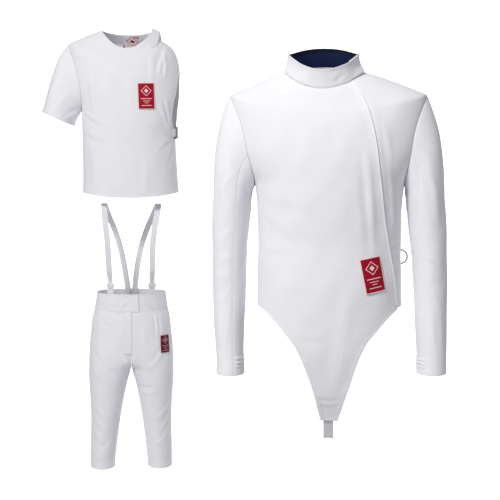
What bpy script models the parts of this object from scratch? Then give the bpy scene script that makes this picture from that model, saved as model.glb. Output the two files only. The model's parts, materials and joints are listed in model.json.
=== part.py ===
"""A fencing suit of three garments, filled out as if worn: jacket, underarm protector, breeches with braces.

Metres, +Z up, the wearers face -Y, and +X is the wearer's left. The origin is the middle of the jacket's neck
seam at the sides, where the shoulders carry it. The other two garments have frames of their own, on empties.
Each garment is a hollow body: a table of sections gives its outer surface, and every panel is a wall cut from
that surface between its seams, CLOTH thick to the inside, with SEAM_GAP to the next panel.
"""

import math

import bpy
import numpy as np
from mathutils import Matrix

# Cloth, webbing and clearances
CLOTH = 0.002
LINING = 0.0012
LABEL = 0.0008
LABEL_STRIPS = 4
WEBBING = 0.0012
SEAM_GAP = 0.0003
LIE = 0.0004  # what lies on a panel is this far off it
QUARTER = math.pi / 2
TURN_STEP = 0.002
STATION_STEP = 0.0004

# Where the garments hang, and which way they are turned to face the viewer, in degrees
PROTECTOR_PLACE = (-0.674, 1.159, 0.2280)
PROTECTOR_YAW = 8.0
BREECHES_PLACE = (-0.678, 1.159, -0.654)
BREECHES_YAW = 10.8
BREECHES_LEAN = 0.6

# Colours as linear red, green, blue
WHITE = (0.80, 0.80, 0.82)
GREY_WHITE = (0.62, 0.62, 0.64)
NAVY = (0.010, 0.022, 0.085)
RED = (0.42, 0.012, 0.045)
STEEL = (0.42, 0.42, 0.43)
GREY_PLASTIC = (0.12, 0.12, 0.125)


def smooth_curve(keys, values):
    """A function through the given values that bends smoothly between its keys and never overshoots them."""
    x = np.asarray(keys, float)
    y = np.asarray(values, float)
    step = np.diff(x)
    slope = np.diff(y) / step
    inner = np.where(slope[1:] * slope[:-1] > 0, 1.0, 0.0)
    weight = step[1:] + 2 * step[:-1], 2 * step[1:] + step[:-1]
    safe = np.where(slope == 0, 1.0, slope)
    mean = inner * sum(weight) / (weight[0] / safe[:-1] + weight[1] / safe[1:])
    tangent = np.concatenate([slope[:1], mean, slope[-1:]])

    def value(at):
        at = np.clip(at, x[0], x[-1])
        i = np.clip(np.searchsorted(x, at, side="right") - 1, 0, len(step) - 1)
        t = (at - x[i]) / step[i]
        rise = step[i] * (tangent[i] * t * (1 - t) ** 2 - tangent[i + 1] * t**2 * (1 - t))
        return y[i] + (y[i + 1] - y[i]) * t**2 * (3 - 2 * t) + rise

    return value


def columns_of(names, rows):
    """Each named column of a table as a smooth function of its first column, the station."""
    stations = [row[0] for row in rows]
    return {name: smooth_curve(stations, [row[i] for row in rows]) for i, name in enumerate(names)}


def ease(t):
    """0 before 0, 1 after 1, and a smooth rise between."""
    t = np.clip(t, 0.0, 1.0)
    return t * t * (3 - 2 * t)


def signed_power(value, power):
    return np.sign(value) * np.abs(value) ** power


class Body:
    """A garment's trunk. A point is named by its turn (0 front, 90 degrees the wearer's left, 180 back) and
    its station, the height of that section at its sides."""

    NAMES = ("station", "front_z", "back_z", "centre", "right", "left", "front", "back", "square")

    def __init__(self, rows):
        self.column = columns_of(self.NAMES, rows)

    def point(self, turn, station):
        turn, station = np.broadcast_arrays(np.asarray(turn, float), np.asarray(station, float))
        value = {name: column(station) for name, column in self.column.items()}
        power = 2 / value["square"]
        across, along = np.sin(turn), np.cos(turn)
        wide = np.where(across > 0, value["left"], value["right"])
        deep = np.where(along > 0, value["front"], value["back"])
        end_z = np.where(along > 0, value["front_z"], value["back_z"])
        x = value["centre"] + wide * signed_power(across, power)
        y = -deep * signed_power(along, power)
        z = station + (end_z - station) * along**2
        return np.stack([x, y, z], axis=-1)

    def turn_at(self, x, station):
        """The turn of the front's point that is x from the middle plane, at a station."""
        wide = np.where(x > 0, self.column["left"](station), self.column["right"](station))
        share = np.clip((x - self.column["centre"](station)) / wide, -1, 1)
        return np.arcsin(signed_power(share, self.column["square"](station) / 2))

    def station_at(self, turn, height):
        """The station whose point at this turn has the given height."""
        station = height
        for _ in range(12):
            station = station + height - self.point(turn, station)[..., 2]
        return station


def normals(surface, u, v, step_u=TURN_STEP, step_v=STATION_STEP):
    """Unit normals of surface(u, v), from its slopes along u and v. They point outwards when u turns to the
    wearer's left across the front and v rises."""
    along_u = surface(u + step_u, v) - surface(u - step_u, v)
    along_v = surface(u, v + step_v) - surface(u, v - step_v)
    normal = np.cross(along_u, along_v)
    return normal / np.linalg.norm(normal, axis=-1, keepdims=True)


def faces_of_grid(rows, columns, ring):
    """Quads of the wall between an outer and an inner grid, with its rims. A ring closes on itself."""
    count = rows * columns
    last = columns if ring else columns - 1

    def at(layer, row, column):
        return layer * count + row * columns + column % columns

    faces = []
    for row in range(rows - 1):
        for column in range(last):
            here = (row, column), (row, column + 1), (row + 1, column + 1), (row + 1, column)
            faces.append([at(0, *here[i]) for i in (0, 1, 2, 3)])
            faces.append([at(1, *here[i]) for i in (0, 3, 2, 1)])
    for column in range(last):
        faces.append([at(1, 0, column), at(1, 0, column + 1), at(0, 0, column + 1), at(0, 0, column)])
        top = rows - 1
        faces.append([at(0, top, column), at(0, top, column + 1), at(1, top, column + 1), at(1, top, column)])
    if not ring:
        side = columns - 1
        for row in range(rows - 1):
            faces.append([at(0, row, 0), at(0, row + 1, 0), at(1, row + 1, 0), at(1, row, 0)])
            faces.append([at(1, row, side), at(1, row + 1, side), at(0, row + 1, side), at(0, row, side)])
    return faces


def material(name, colour, roughness, metallic=0.0):
    made = bpy.data.materials.get(name) or bpy.data.materials.new(name)
    made.use_nodes = True
    shader = made.node_tree.nodes["Principled BSDF"]
    shader.inputs["Base Color"].default_value = (*colour, 1.0)
    shader.inputs["Roughness"].default_value = roughness
    shader.inputs["Metallic"].default_value = metallic
    return made


def object_of(name, points, faces, finish, garment):
    mesh = bpy.data.meshes.new(name)
    mesh.from_pydata([tuple(p) for p in np.asarray(points).reshape(-1, 3)], [], faces)
    mesh.materials.append(finish)
    mesh.shade_smooth()
    mesh.set_sharp_from_angle(angle=math.radians(50))
    made = bpy.data.objects.new(name, mesh)
    made.parent = garment
    bpy.context.scene.collection.objects.link(made)
    return made


def wall(name, outer, inner, finish, garment, ring=False):
    """A closed solid between two grids of points of the same shape, rows by columns."""
    rows, columns = outer.shape[:2]
    faces = faces_of_grid(rows, columns, ring)
    points = np.concatenate([outer.reshape(-1, 3), inner.reshape(-1, 3)])
    return object_of(name, points, faces, finish, garment)


def panel(name, surface, u, v, finish, garment, lift=0.0, thick=CLOTH, ring=False):
    """A wall on surface(u, v): lift is how far its outer face stands off the surface."""
    points = surface(u, v)
    normal = normals(surface, u, v)
    return wall(
        name, points + lift * normal, points + (lift - thick) * normal, finish, garment, ring
    )


def rows_between(left, right, stations, shares, body):
    """Grids of turn and station for a panel between two edges, drawn in by half a seam's gap at each edge."""
    half_gap = SEAM_GAP / 2
    low, high = left(stations), right(stations)
    for edge, sign in ((low, 1.0), (high, -1.0)):
        beside = body.point(edge + sign * TURN_STEP, stations) - body.point(edge, stations)
        edge += sign * TURN_STEP * half_gap / np.linalg.norm(beside, axis=-1)
    turn = low[:, None] + (high - low)[:, None] * shares
    return turn, np.repeat(stations[:, None], turn.shape[1], axis=1)


def ribbon(name, path, normal, width, thick, finish, garment):
    """A flat strap along a path. normal gives the direction out of its face at each point."""
    path = np.asarray(path, float)
    along = np.gradient(path, axis=0)
    along /= np.linalg.norm(along, axis=1, keepdims=True)
    across = np.cross(along, normal)
    across /= np.linalg.norm(across, axis=1, keepdims=True)
    face = np.cross(across, along)
    half = np.reshape(np.broadcast_to(width, len(path)), (-1, 1)) / 2
    edges = np.stack([path - half * across, path + half * across], axis=1)
    offset = face[:, None] * thick / 2
    return wall(name, edges + offset, edges - offset, finish, garment)


def smooth_path(points, count):
    """Points evenly spaced along a smooth curve through a few given ones."""
    points = np.asarray(points, float)
    reach = np.concatenate([[0], np.cumsum(np.linalg.norm(np.diff(points, axis=0), axis=1))])
    fine = np.linspace(0, reach[-1], 400)
    curve = np.stack([smooth_curve(reach, points[:, i])(fine) for i in range(3)], axis=1)
    run = np.concatenate([[0], np.cumsum(np.linalg.norm(np.diff(curve, axis=0), axis=1))])
    even = np.linspace(0, run[-1], count)
    return np.stack([np.interp(even, run, curve[:, i]) for i in range(3)], axis=1)


def upright_normals(path):
    """Normals for a strap that runs in a plane of constant x, mostly: square to it in that plane."""
    along = np.gradient(path, axis=0)
    return np.stack([np.zeros(len(path)), -along[:, 2], along[:, 1]], axis=1)


class Armhole:
    """A loop on a body, round the sleeve. Its angle runs from 0 at the armpit over the front to 180 at the
    top of the shoulder, and down the back to 360."""

    def __init__(self, body, side, bottom, top, front_reach, back_reach):
        self.body = body
        self.side = side
        self.bottom = bottom
        self.top = top
        self.reach = front_reach, back_reach

    def station(self, angle):
        return self.bottom + (self.top - self.bottom) * (1 - np.cos(angle)) / 2

    def turn(self, angle):
        bulge = np.abs(np.sin(angle))
        front = np.sin(angle) > 0
        return self.side * (QUARTER + np.where(front, -self.reach[0], self.reach[1]) * bulge)

    def angle_at(self, station):
        share = np.clip((station - self.bottom) / (self.top - self.bottom), 0, 1)
        return np.arccos(1 - 2 * share)

    def front_edge(self, station):
        return self.turn(self.angle_at(station))

    def back_edge(self, station):
        return self.turn(2 * math.pi - self.angle_at(station))

    def point(self, angle):
        return self.body.point(self.turn(angle), self.station(angle))

    def normal(self, angle):
        return normals(self.body.point, self.turn(angle), self.station(angle))


class Sleeve:
    """A sleeve's surface. Down to its first section it fans out of the armhole, and below that it follows its
    sections. reach runs from 0 at the armhole to 1 at the first section and then one more for each section."""

    NAMES = ("reach", "height", "centre_x", "centre_y", "half_width", "half_depth", "tilt")

    def __init__(self, armhole, rows, out_under, out_top, out_front, end_out, fullness):
        self.armhole = armhole
        self.column = columns_of(self.NAMES, rows)
        self.out = out_under, out_top, out_front
        self.end_out = end_out
        self.fullness = fullness

    def ring(self, angle, reach):
        value = {name: column(reach) for name, column in self.column.items()}
        inward = np.cos(angle) * value["half_width"]
        x = value["centre_x"] - inward * np.cos(value["tilt"])
        y = value["centre_y"] - np.sin(angle) * value["half_depth"]
        z = value["height"] - inward * np.sin(value["tilt"])
        return np.stack([self.armhole.side * x, y, z], axis=-1)

    def start(self, angle):
        """The armhole's points, stood off its seam by a gap outwards and a gap along the sleeve."""
        into = self.leaving(angle)
        return self.armhole.point(angle) + SEAM_GAP * (self.armhole.normal(angle) + into)

    def leaving(self, angle):
        """The direction in which the sleeve leaves the armhole: outwards and down."""
        under, top, front = self.out
        out = under + (top - under) * (1 - np.cos(angle)) / 2 + front * np.sin(angle) ** 2
        down = -np.sqrt(1 - out**2)
        return np.stack([self.armhole.side * out, np.zeros_like(out), down], axis=-1)

    def point(self, angle, reach):
        angle, reach = np.broadcast_arrays(np.asarray(angle, float), np.asarray(reach, float))
        t = np.clip(reach, 0, 1)[..., None]
        first, end = self.start(angle), self.ring(angle, np.ones_like(reach))
        far = self.fullness * np.linalg.norm(end - first, axis=-1, keepdims=True)
        down = np.array([self.armhole.side * self.end_out, 0, -math.sqrt(1 - self.end_out**2)])
        fan = (
            first * (1 + 2 * t) * (1 - t) ** 2
            + far * self.leaving(angle) * t * (1 - t) ** 2
            + end * t**2 * (3 - 2 * t)
            - far * down * t**2 * (1 - t)
        )
        return np.where(reach[..., None] < 1, fan, self.ring(angle, np.maximum(reach, 1)))


def sleeve_wall(sleeve, name, angle, reach, finish, garment, ring):
    """The wall of a sleeve at these angles and reaches, its columns in the order that turns it outwards."""
    order = slice(None, None, sleeve.armhole.side)
    angle, reach = angle[::-1, order], reach[::-1, order]
    points = sleeve.point(angle, reach)
    normal = normals(sleeve.point, angle, reach, 0.01, 0.01) * -sleeve.armhole.side
    wall(name, points, points - CLOTH * normal, finish, garment, ring)


def sleeve_piece(sleeve, name, reaches, first, last, strips, finish, garment):
    """A piece of a sleeve between two angles, drawn in by half a seam's gap at each of its long edges."""
    angle, reach = np.meshgrid(np.linspace(first, last, strips + 1), reaches)
    step = 0.01
    beside = sleeve.point(angle[:, :1] + step, reach[:, :1]) - sleeve.point(angle[:, :1] - step, reach[:, :1])
    trim = step * SEAM_GAP / np.linalg.norm(beside, axis=-1)
    angle[:, :1] += trim
    angle[:, -1:] -= trim
    sleeve_wall(sleeve, name, angle, reach, finish, garment, False)


def sleeve_tube(sleeve, name, reaches, finish, garment):
    """A sleeve in one piece, its strips on the armhole's own points."""
    angle = np.concatenate([CAP_ANGLES, 2 * math.pi - CAP_ANGLES[-2:0:-1]])
    angle, reach = np.meshgrid(angle, reaches)
    sleeve_wall(sleeve, name, angle, reach, finish, garment, True)


# The jacket
JACKET_HEM = -0.520
JACKET_SHOULDER = -0.049
JACKET_NECK = 0.004
JACKET_ROWS = (
    # station, front_z, back_z, centre, right, left, front, back, square
    (-0.790, -0.790, -0.790, 0.0010, 0.150, 0.150, 0.036, 0.075, 2.1),
    (-0.700, -0.700, -0.700, 0.0035, 0.156, 0.156, 0.080, 0.090, 2.1),
    (-0.600, -0.600, -0.600, 0.0010, 0.162, 0.160, 0.104, 0.102, 2.2),
    (-0.520, -0.520, -0.552, 0.0, 0.1640, 0.1625, 0.112, 0.106, 2.2),
    (-0.460, -0.460, -0.465, 0.0, 0.1645, 0.1625, 0.114, 0.104, 2.2),
    (-0.385, -0.385, -0.385, 0.0, 0.1625, 0.1600, 0.113, 0.095, 2.2),
    (-0.310, -0.310, -0.310, 0.0, 0.1640, 0.1610, 0.118, 0.101, 2.2),
    (-0.248, -0.245, -0.245, 0.0, 0.1700, 0.1670, 0.121, 0.112, 2.2),
    (-0.205, -0.201, -0.199, 0.0, 0.1920, 0.1870, 0.120, 0.118, 2.2),
    (-0.165, -0.164, -0.158, 0.0, 0.2110, 0.2030, 0.116, 0.119, 2.2),
    (-0.105, -0.118, -0.098, 0.0, 0.2220, 0.2120, 0.107, 0.113, 2.2),
    (-0.049, -0.087, -0.052, -0.001, 0.2265, 0.2150, 0.096, 0.102, 2.2),
    (-0.0365, -0.075, -0.035, -0.002, 0.2010, 0.1900, 0.089, 0.095, 2.2),
    (-0.0235, -0.062, -0.016, -0.0035, 0.1660, 0.1570, 0.082, 0.085, 2.2),
    (-0.0090, -0.049, 0.003, -0.008, 0.1300, 0.1230, 0.076, 0.074, 2.1),
    (0.004, -0.036, 0.018, -0.0170, 0.0880, 0.0890, 0.069, 0.062, 2.1),
)
COLLAR_ROWS = (
    # station, front_z, back_z, centre, right, left, front, back, square
    (0.0043, -0.0357, 0.0183, -0.0170, 0.0880, 0.0890, 0.069, 0.062, 2.1),
    (0.018, -0.024, 0.033, -0.0172, 0.0835, 0.0835, 0.071, 0.058, 2.1),
    (0.031, -0.010, 0.047, -0.0172, 0.0808, 0.0808, 0.0745, 0.0555, 2.1),
    (0.0435, 0.0040, 0.0605, -0.0172, 0.0797, 0.0797, 0.078, 0.054, 2.2),
)
# The front's tongue: half its width at each height
TONGUE_ROWS = (
    (-0.7815, 0.0198),
    (-0.7700, 0.0222),
    (-0.7550, 0.0262),
    (-0.7250, 0.0335),
    (-0.6810, 0.0468),
    (-0.6405, 0.0602),
    (-0.6010, 0.0785),
    (-0.5670, 0.1055),
    (-0.5310, 0.1415),
    (-0.5200, 0.1640),
)
# The slanting closure: distance from the middle plane at each height
CLOSURE_ROWS = (
    (-0.5200, 0.1510),
    (-0.4550, 0.1430),
    (-0.3750, 0.1285),
    (-0.3000, 0.1165),
    (-0.2300, 0.1085),
    (-0.1500, 0.0985),
    (-0.0950, 0.0860),
    (-0.0550, 0.0700),
    (-0.0200, 0.0470),
)
TONGUE_STATIONS = np.array((-0.7815, -0.770, -0.755, -0.725, -0.681, -0.6405, -0.601, -0.567, -0.542, -0.529))
SIDE_STATIONS = np.array((-0.520, -0.475, -0.430, -0.385, -0.340, -0.300, -0.270))
YOKE_STATIONS = np.array((-0.0365, -0.0235, -0.0090, -0.0005, 0.004))
SLEEVE_SEAM = math.radians(70)  # each sleeve has an under piece between this angle and its mirror
UNDER_STRIPS = 6
UPPER_STRIPS = 10
CAP_ANGLES = np.concatenate(
    [
        np.linspace(0, SLEEVE_SEAM, UNDER_STRIPS // 2 + 1),
        np.linspace(SLEEVE_SEAM, math.pi, UPPER_STRIPS // 2 + 1)[1:],
    ]
)
PLACKET_WIDTH = 0.024
FRONT_STRIPS = 13
SIDE_FRONT_STRIPS = 5
BACK_STRIPS = 14
JACKET_SLEEVES = {
    "right": (
        # reach, height, centre_x, centre_y, half_width, half_depth, tilt
        (1.0, -0.275, 0.2221, 0.002, 0.0442, 0.0628, 0.0),
        (2.0, -0.320, 0.2250, 0.002, 0.0430, 0.0608, 0.0),
        (3.0, -0.397, 0.2277, 0.000, 0.0402, 0.0558, 0.0),
        (4.0, -0.477, 0.2288, -0.004, 0.0381, 0.0518, 0.0),
        (5.0, -0.556, 0.2286, -0.012, 0.0353, 0.0468, 0.0),
        (6.0, -0.6245, 0.2262, -0.022, 0.0321, 0.0418, 0.0),
        (7.0, -0.677, 0.2240, -0.031, 0.0314, 0.0388, 0.0),
    ),
    "left": (
        (1.0, -0.275, 0.2130, 0.002, 0.0442, 0.0628, 0.0),
        (2.0, -0.320, 0.2175, 0.002, 0.0430, 0.0608, 0.0),
        (3.0, -0.397, 0.2235, 0.000, 0.0404, 0.0558, 0.0),
        (4.0, -0.477, 0.2280, -0.004, 0.0382, 0.0518, 0.0),
        (5.0, -0.556, 0.2292, -0.012, 0.0359, 0.0468, 0.0),
        (6.0, -0.6245, 0.2305, -0.022, 0.0340, 0.0418, 0.0),
        (7.0, -0.6695, 0.2305, -0.031, 0.0326, 0.0388, 0.0),
    ),
}
JACKET_REACHES = np.array((0.0, 0.12, 0.28, 0.5, 0.75, 1.0, 2.0, 3.0, 3.5, 4.0, 4.5, 5.0, 6.0, 6.7, 7.0))
COLLAR_FLAP = math.radians(27)  # how far the collar's end laps over its beginning
FLAP_STAND = 0.0031
JACKET_LABEL = {"x": 0.0935, "height": -0.442, "wide": 0.044, "tall": 0.078, "lean": 11.0}
STRAP_WIDTH = 0.0225
STRAP_DROP = -0.8300
RING_WIRE = 0.0015
RING_SHANK = 0.008
RING_RADIUS = 0.0160
RING_HEIGHT = -0.415
RING_TURN = math.radians(113)
RING_STAND = 0.0062
RING_TAB_WIDTH = 0.020


def jacket_parts(garment, cloth, lining, tape, red, steel):
    body = Body(JACKET_ROWS)
    armholes = {
        side: Armhole(body, side, -0.248, JACKET_SHOULDER, math.radians(30), math.radians(30))
        for side in (-1, 1)
    }
    armhole_stations = armholes[1].station(CAP_ANGLES)
    upper = np.concatenate([SIDE_STATIONS, armhole_stations, YOKE_STATIONS])
    tongue = columns_of(("station", "half"), TONGUE_ROWS)["half"]
    closure_x = columns_of(("station", "x"), CLOSURE_ROWS)["x"]

    def tongue_edge(station, side):
        return body.turn_at(body.column["centre"](station) + side * tongue(station), station)

    def closure(station):
        turn = body.turn_at(closure_x(station), station)
        for _ in range(3):
            turn = body.turn_at(closure_x(body.point(turn, station)[..., 2]), station)
        return turn

    def front_left(station):
        return np.where(station < JACKET_HEM, tongue_edge(station, -1), armholes[-1].front_edge(station))

    def front_right(station):
        return np.where(station < JACKET_HEM, tongue_edge(station, 1), closure(station))

    front_stations = np.concatenate([TONGUE_STATIONS, upper])
    low, high = front_left(front_stations), front_right(front_stations)
    edge = body.point(high, front_stations)
    beside = high - 0.05
    for _ in range(4):
        reach = np.linalg.norm(edge - body.point(beside, front_stations), axis=-1)
        beside = high - (high - beside) * PLACKET_WIDTH / reach
    placket_share = np.minimum((high - beside) / (high - low), 0.25)[:, None]
    even = np.linspace(0, 1, FRONT_STRIPS - 1)[None, :]
    whole = np.ones_like(placket_share)
    shares = np.concatenate([even * (1 - placket_share), whole - placket_share / 2, whole], axis=1)
    turn, station = rows_between(front_left, front_right, front_stations, shares, body)
    front_top = turn[-1].copy()
    panel("jacket_front", body.point, turn, station, cloth, garment)

    # The placket is a facing on the closure's edge, made from the front's own points
    above = slice(len(TONGUE_STATIONS), -1)
    facing_turn, facing_station = turn[above, -3:], station[above, -3:]
    panel("jacket_placket", body.point, facing_turn, facing_station, cloth, garment, LIE + 0.001, 0.001)

    even = np.linspace(0, 1, SIDE_FRONT_STRIPS + 1)[None, :]
    turn, station = rows_between(closure, armholes[1].front_edge, upper, even, body)
    side_top = turn[-1].copy()
    panel("jacket_side_front", body.point, turn, station, cloth, garment)

    def back_right(station):
        return 2 * math.pi + armholes[-1].back_edge(station)

    even = np.linspace(0, 1, BACK_STRIPS + 1)[None, :]
    turn, station = rows_between(armholes[1].back_edge, back_right, upper, even, body)
    back_top = turn[-1].copy()
    panel("jacket_back", body.point, turn, station, cloth, garment)

    for side, word in ((-1, "right"), (1, "left")):
        sleeve = Sleeve(armholes[side], JACKET_SLEEVES[word], 0.30, 0.45, 0.36, 0.03, 1.0)
        for part, first, last, strips in (
            ("under", -SLEEVE_SEAM, SLEEVE_SEAM, UNDER_STRIPS),
            ("upper", SLEEVE_SEAM, 2 * math.pi - SLEEVE_SEAM, UPPER_STRIPS),
        ):
            name = f"jacket_sleeve_{word}_{part}"
            sleeve_piece(sleeve, name, JACKET_REACHES, first, last, strips, cloth, garment)

    collar_parts(garment, cloth, lining, side_top, back_top, front_top)
    tongue_strap(garment, body, tape)
    label_patch("jacket_label", body, JACKET_LABEL, red, garment)
    ring_and_tab(garment, body, tape, steel)


def collar_parts(garment, cloth, lining, side_top, back_top, front_top):
    """A stand collar: it starts at the closure, runs round the back and laps over its own beginning."""
    body = Body(COLLAR_ROWS)
    stations = np.array([row[0] for row in COLLAR_ROWS])
    begin = side_top[0]
    flap = begin + np.linspace(0, COLLAR_FLAP, 4)[1:]
    turns = np.concatenate([side_top, back_top[1:], front_top[1:] + 2 * math.pi, flap + 2 * math.pi])
    turn, station = np.meshgrid(turns, stations)
    lap = begin + 2 * math.pi
    lift = FLAP_STAND * ease((turn - lap + 0.45) / 0.40)[..., None]
    points = body.point(turn, station)
    normal = normals(body.point, turn, station)
    wall("jacket_collar", points + lift * normal, points + (lift - CLOTH) * normal, cloth, garment)
    inside = slice(1, -5)
    turn, station = turn[:, inside], station[:, inside].copy()
    station[0] += 0.002
    panel("jacket_collar_lining", body.point, turn, station, lining, garment, -CLOTH - SEAM_GAP, LINING)


def tongue_strap(garment, body, tape):
    """The elastic strap from behind the tongue's tip, round under it and up inside the back's hem."""
    inside = CLOTH + 0.0012 + WEBBING / 2
    tip_z = np.array((-0.752, -0.779))
    tip = body.point(0.0, tip_z) - inside * normals(body.point, np.zeros(2), tip_z)
    back = [body.point(math.pi, body.station_at(math.pi, z)) for z in (-0.545, -0.515)]
    points = (
        tip[0],
        tip[1],
        (0.0, -0.0275, -0.808),
        (0.0, -0.0200, STRAP_DROP + 0.0030),
        (0.0, -0.0120, STRAP_DROP + 0.0006),
        (0.0, -0.0020, -0.8220),
        (0.0, 0.0380, -0.750),
        (0.0, 0.0740, -0.660),
        (0.0, 0.0930, -0.600),
        (0.0, back[0][1] - inside - 0.002, back[0][2]),
        (0.0, back[1][1] - inside - 0.0012, back[1][2]),
    )
    points = [(0.0, point[1], point[2]) for point in points]
    path = smooth_path(points, 30)
    face = upright_normals(path[::-1])[::-1]
    ribbon("jacket_crotch_strap", path, face, STRAP_WIDTH, WEBBING, tape, garment)


def label_patch(name, body, spec, finish, garment):
    """A woven label on the front of a body, leaning by some degrees."""
    lean = math.radians(spec["lean"])
    across = np.linspace(-0.5, 0.5, LABEL_STRIPS + 1) * spec["wide"]
    up = np.linspace(-0.5, 0.5, LABEL_STRIPS + 3) * spec["tall"]
    across, up = np.meshgrid(across, up)
    x = spec["x"] + across * math.cos(lean) - up * math.sin(lean)
    height = spec["height"] + up * math.cos(lean) + across * math.sin(lean)
    station = height
    for _ in range(6):
        turn = body.turn_at(x, station)
        station = body.station_at(turn, height)
    panel(name, body.point, turn, station, finish, garment, LIE + LABEL, LABEL)


def ring_and_tab(garment, body, tape, steel):
    """A D ring for the body cord on a folded webbing tab, at the left of the back, its bar upright."""
    beside = body.point(RING_TURN, RING_HEIGHT)
    out = normals(body.point, np.array(RING_TURN), np.array(RING_HEIGHT))
    bar = beside + RING_STAND * out
    bar[2] = RING_HEIGHT
    bow = np.linspace(-math.pi / 2, math.pi / 2, 13)
    line = [(RING_SHANK + RING_RADIUS * math.cos(a), 0.0, RING_RADIUS * math.sin(a)) for a in bow]
    corner = RING_RADIUS - 0.003
    straight = [(0.003, 0.0, RING_RADIUS), (0.0009, 0.0, RING_RADIUS - 0.0009)]
    straight += [(0.0, 0.0, z) for z in np.linspace(corner, -corner, 5)]
    straight += [(0.0009, 0.0, 0.0009 - RING_RADIUS), (0.003, 0.0, -RING_RADIUS)]
    loop = np.array(line + straight)
    along = np.roll(loop, -1, axis=0) - np.roll(loop, 1, axis=0)
    along /= np.linalg.norm(along, axis=1, keepdims=True)
    side = np.array([0.0, 1.0, 0.0])
    outward = np.cross(along, side)
    spokes = np.linspace(0, 2 * math.pi, 9)[:-1]
    rings = np.stack(
        [loop + RING_WIRE * (math.cos(a) * outward + math.sin(a) * side) for a in spokes], axis=0
    )
    count = len(loop)
    faces = []
    for i in range(8):
        for j in range(count):
            here, beside_it = i * count, (i + 1) % 8 * count
            after = (j + 1) % count
            faces.append([here + j, here + after, beside_it + after, beside_it + j])
    made = object_of("jacket_ring", rings, faces, steel, garment)
    made.location = bar

    # The tab's webbing runs out along the cloth, round the bar and back over itself
    eye = RING_WIRE + 0.0004 + WEBBING / 2
    tail_turns = RING_TURN + np.linspace(0.30, 0.06, 5)
    stations = np.full_like(tail_turns, RING_HEIGHT)
    ground = body.point(tail_turns, stations)
    ground_normal = normals(body.point, tail_turns, stations)
    lower = ground + (0.0014 + WEBBING / 2) * ground_normal
    upper = lower + (WEBBING + SEAM_GAP) * ground_normal
    spread = math.atan2(out[1], out[0])
    sweep = spread + np.radians(np.linspace(-172, 78, 12))
    round_bar = np.stack(
        [bar[0] + eye * np.cos(sweep), bar[1] + eye * np.sin(sweep), np.full_like(sweep, RING_HEIGHT)], 1
    )
    path = np.concatenate([lower, round_bar, upper[::-1]])
    path[:, 2] = RING_HEIGHT
    along = np.gradient(path, axis=0)
    face = np.stack([along[:, 1], -along[:, 0], np.zeros(len(path))], axis=1)
    ribbon("jacket_ring_tab", path, face, RING_TAB_WIDTH, WEBBING, tape, garment)


# The underarm protector: one short sleeve on the wearer's right, open at the left side
PROTECTOR_ROWS = (
    # station, front_z, back_z, centre, right, left, front, back, square
    (-0.540, -0.555, -0.533, 0.0, 0.1636, 0.1600, 0.113, 0.106, 2.2),
    (-0.440, -0.446, -0.437, 0.0, 0.1625, 0.1545, 0.116, 0.102, 2.2),
    (-0.352, -0.354, -0.351, 0.0, 0.1625, 0.1505, 0.118, 0.100, 2.2),
    (-0.310, -0.310, -0.310, 0.0, 0.1630, 0.1535, 0.120, 0.104, 2.2),
    (-0.266, -0.265, -0.264, 0.0, 0.1640, 0.1595, 0.120, 0.108, 2.2),
    (-0.205, -0.205, -0.201, 0.0, 0.1780, 0.1690, 0.118, 0.113, 2.2),
    (-0.150, -0.154, -0.145, 0.0, 0.1920, 0.1700, 0.112, 0.113, 2.2),
    (-0.100, -0.120, -0.094, 0.0, 0.2010, 0.1620, 0.104, 0.108, 2.2),
    (-0.070, -0.107, -0.066, -0.001, 0.2050, 0.1500, 0.100, 0.104, 2.2),
    (-0.046, -0.096, -0.044, -0.002, 0.2020, 0.1290, 0.095, 0.098, 2.2),
    (-0.0280, -0.086, -0.029, -0.005, 0.1610, 0.1060, 0.088, 0.088, 2.2),
    (-0.0140, -0.077, -0.018, -0.009, 0.1260, 0.0960, 0.082, 0.077, 2.15),
    (0.000, -0.064, -0.007, -0.009, 0.0850, 0.0870, 0.077, 0.067, 2.1),
)
# The open left side: the turn of the front's edge and of the back's, in degrees, from the hem to the shoulder
PROTECTOR_FRONT_EDGE = (
    (-0.540, 87.0),
    (-0.410, 87.0),
    (-0.360, 86.0),
    (-0.330, 67.0),
    (-0.300, 58.0),
    (-0.250, 54.0),
    (-0.190, 60.0),
    (-0.120, 73.0),
    (-0.046, 90.0),
)
PROTECTOR_BACK_EDGE = (
    (-0.540, 87.0),
    (-0.410, 87.0),
    (-0.360, 87.0),
    (-0.330, 90.0),
    (-0.300, 97.0),
    (-0.250, 103.0),
    (-0.180, 106.0),
    (-0.120, 102.0),
    (-0.046, 90.0),
)
PROTECTOR_SIDE = np.array((-0.540, -0.490, -0.440, -0.400, -0.365, -0.342, -0.322, -0.300, -0.284))
PROTECTOR_YOKE = np.array((-0.0370, -0.0280, -0.0140, 0.0))
PROTECTOR_FRONT_STRIPS = 14
PROTECTOR_BACK_STRIPS = 13
PROTECTOR_SLEEVE_ROWS = (
    # reach, height, centre_x, centre_y, half_width, half_depth, tilt
    (1.0, -0.286, 0.2405, 0.0, 0.0575, 0.077, 0.40),
    (2.0, -0.294, 0.2430, 0.0, 0.0575, 0.0775, 0.41),
)
PROTECTOR_REACHES = np.array((0.0, 0.12, 0.28, 0.5, 0.75, 1.0, 2.0))
PROTECTOR_LABEL = {"x": 0.0560, "height": -0.2222, "wide": 0.053, "tall": 0.085, "lean": 1.5}
SIZE_LABEL = {"turn": 172.0, "width": 0.036, "top": -0.012, "bottom": -0.062}
TAB_SEAT = (
    # turn in degrees, station, lift off the back of the middle of the tab's sewn end
    (127.5, -0.0500, 0.0022),
    (124.5, -0.0420, 0.0024),
    (121.5, -0.0340, 0.0034),
)
SHOULDER_TAB = (
    # x, y, z of the middle of the tab, from there over the shoulder to its point
    (0.0890, 0.036, -0.0050),
    (0.0885, 0.010, 0.0040),
    (0.0880, -0.016, 0.0010),
    (0.0868, -0.036, -0.0140),
    (0.0845, -0.0515, -0.0350),
    (0.0815, -0.0665, -0.0590),
)
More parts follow.
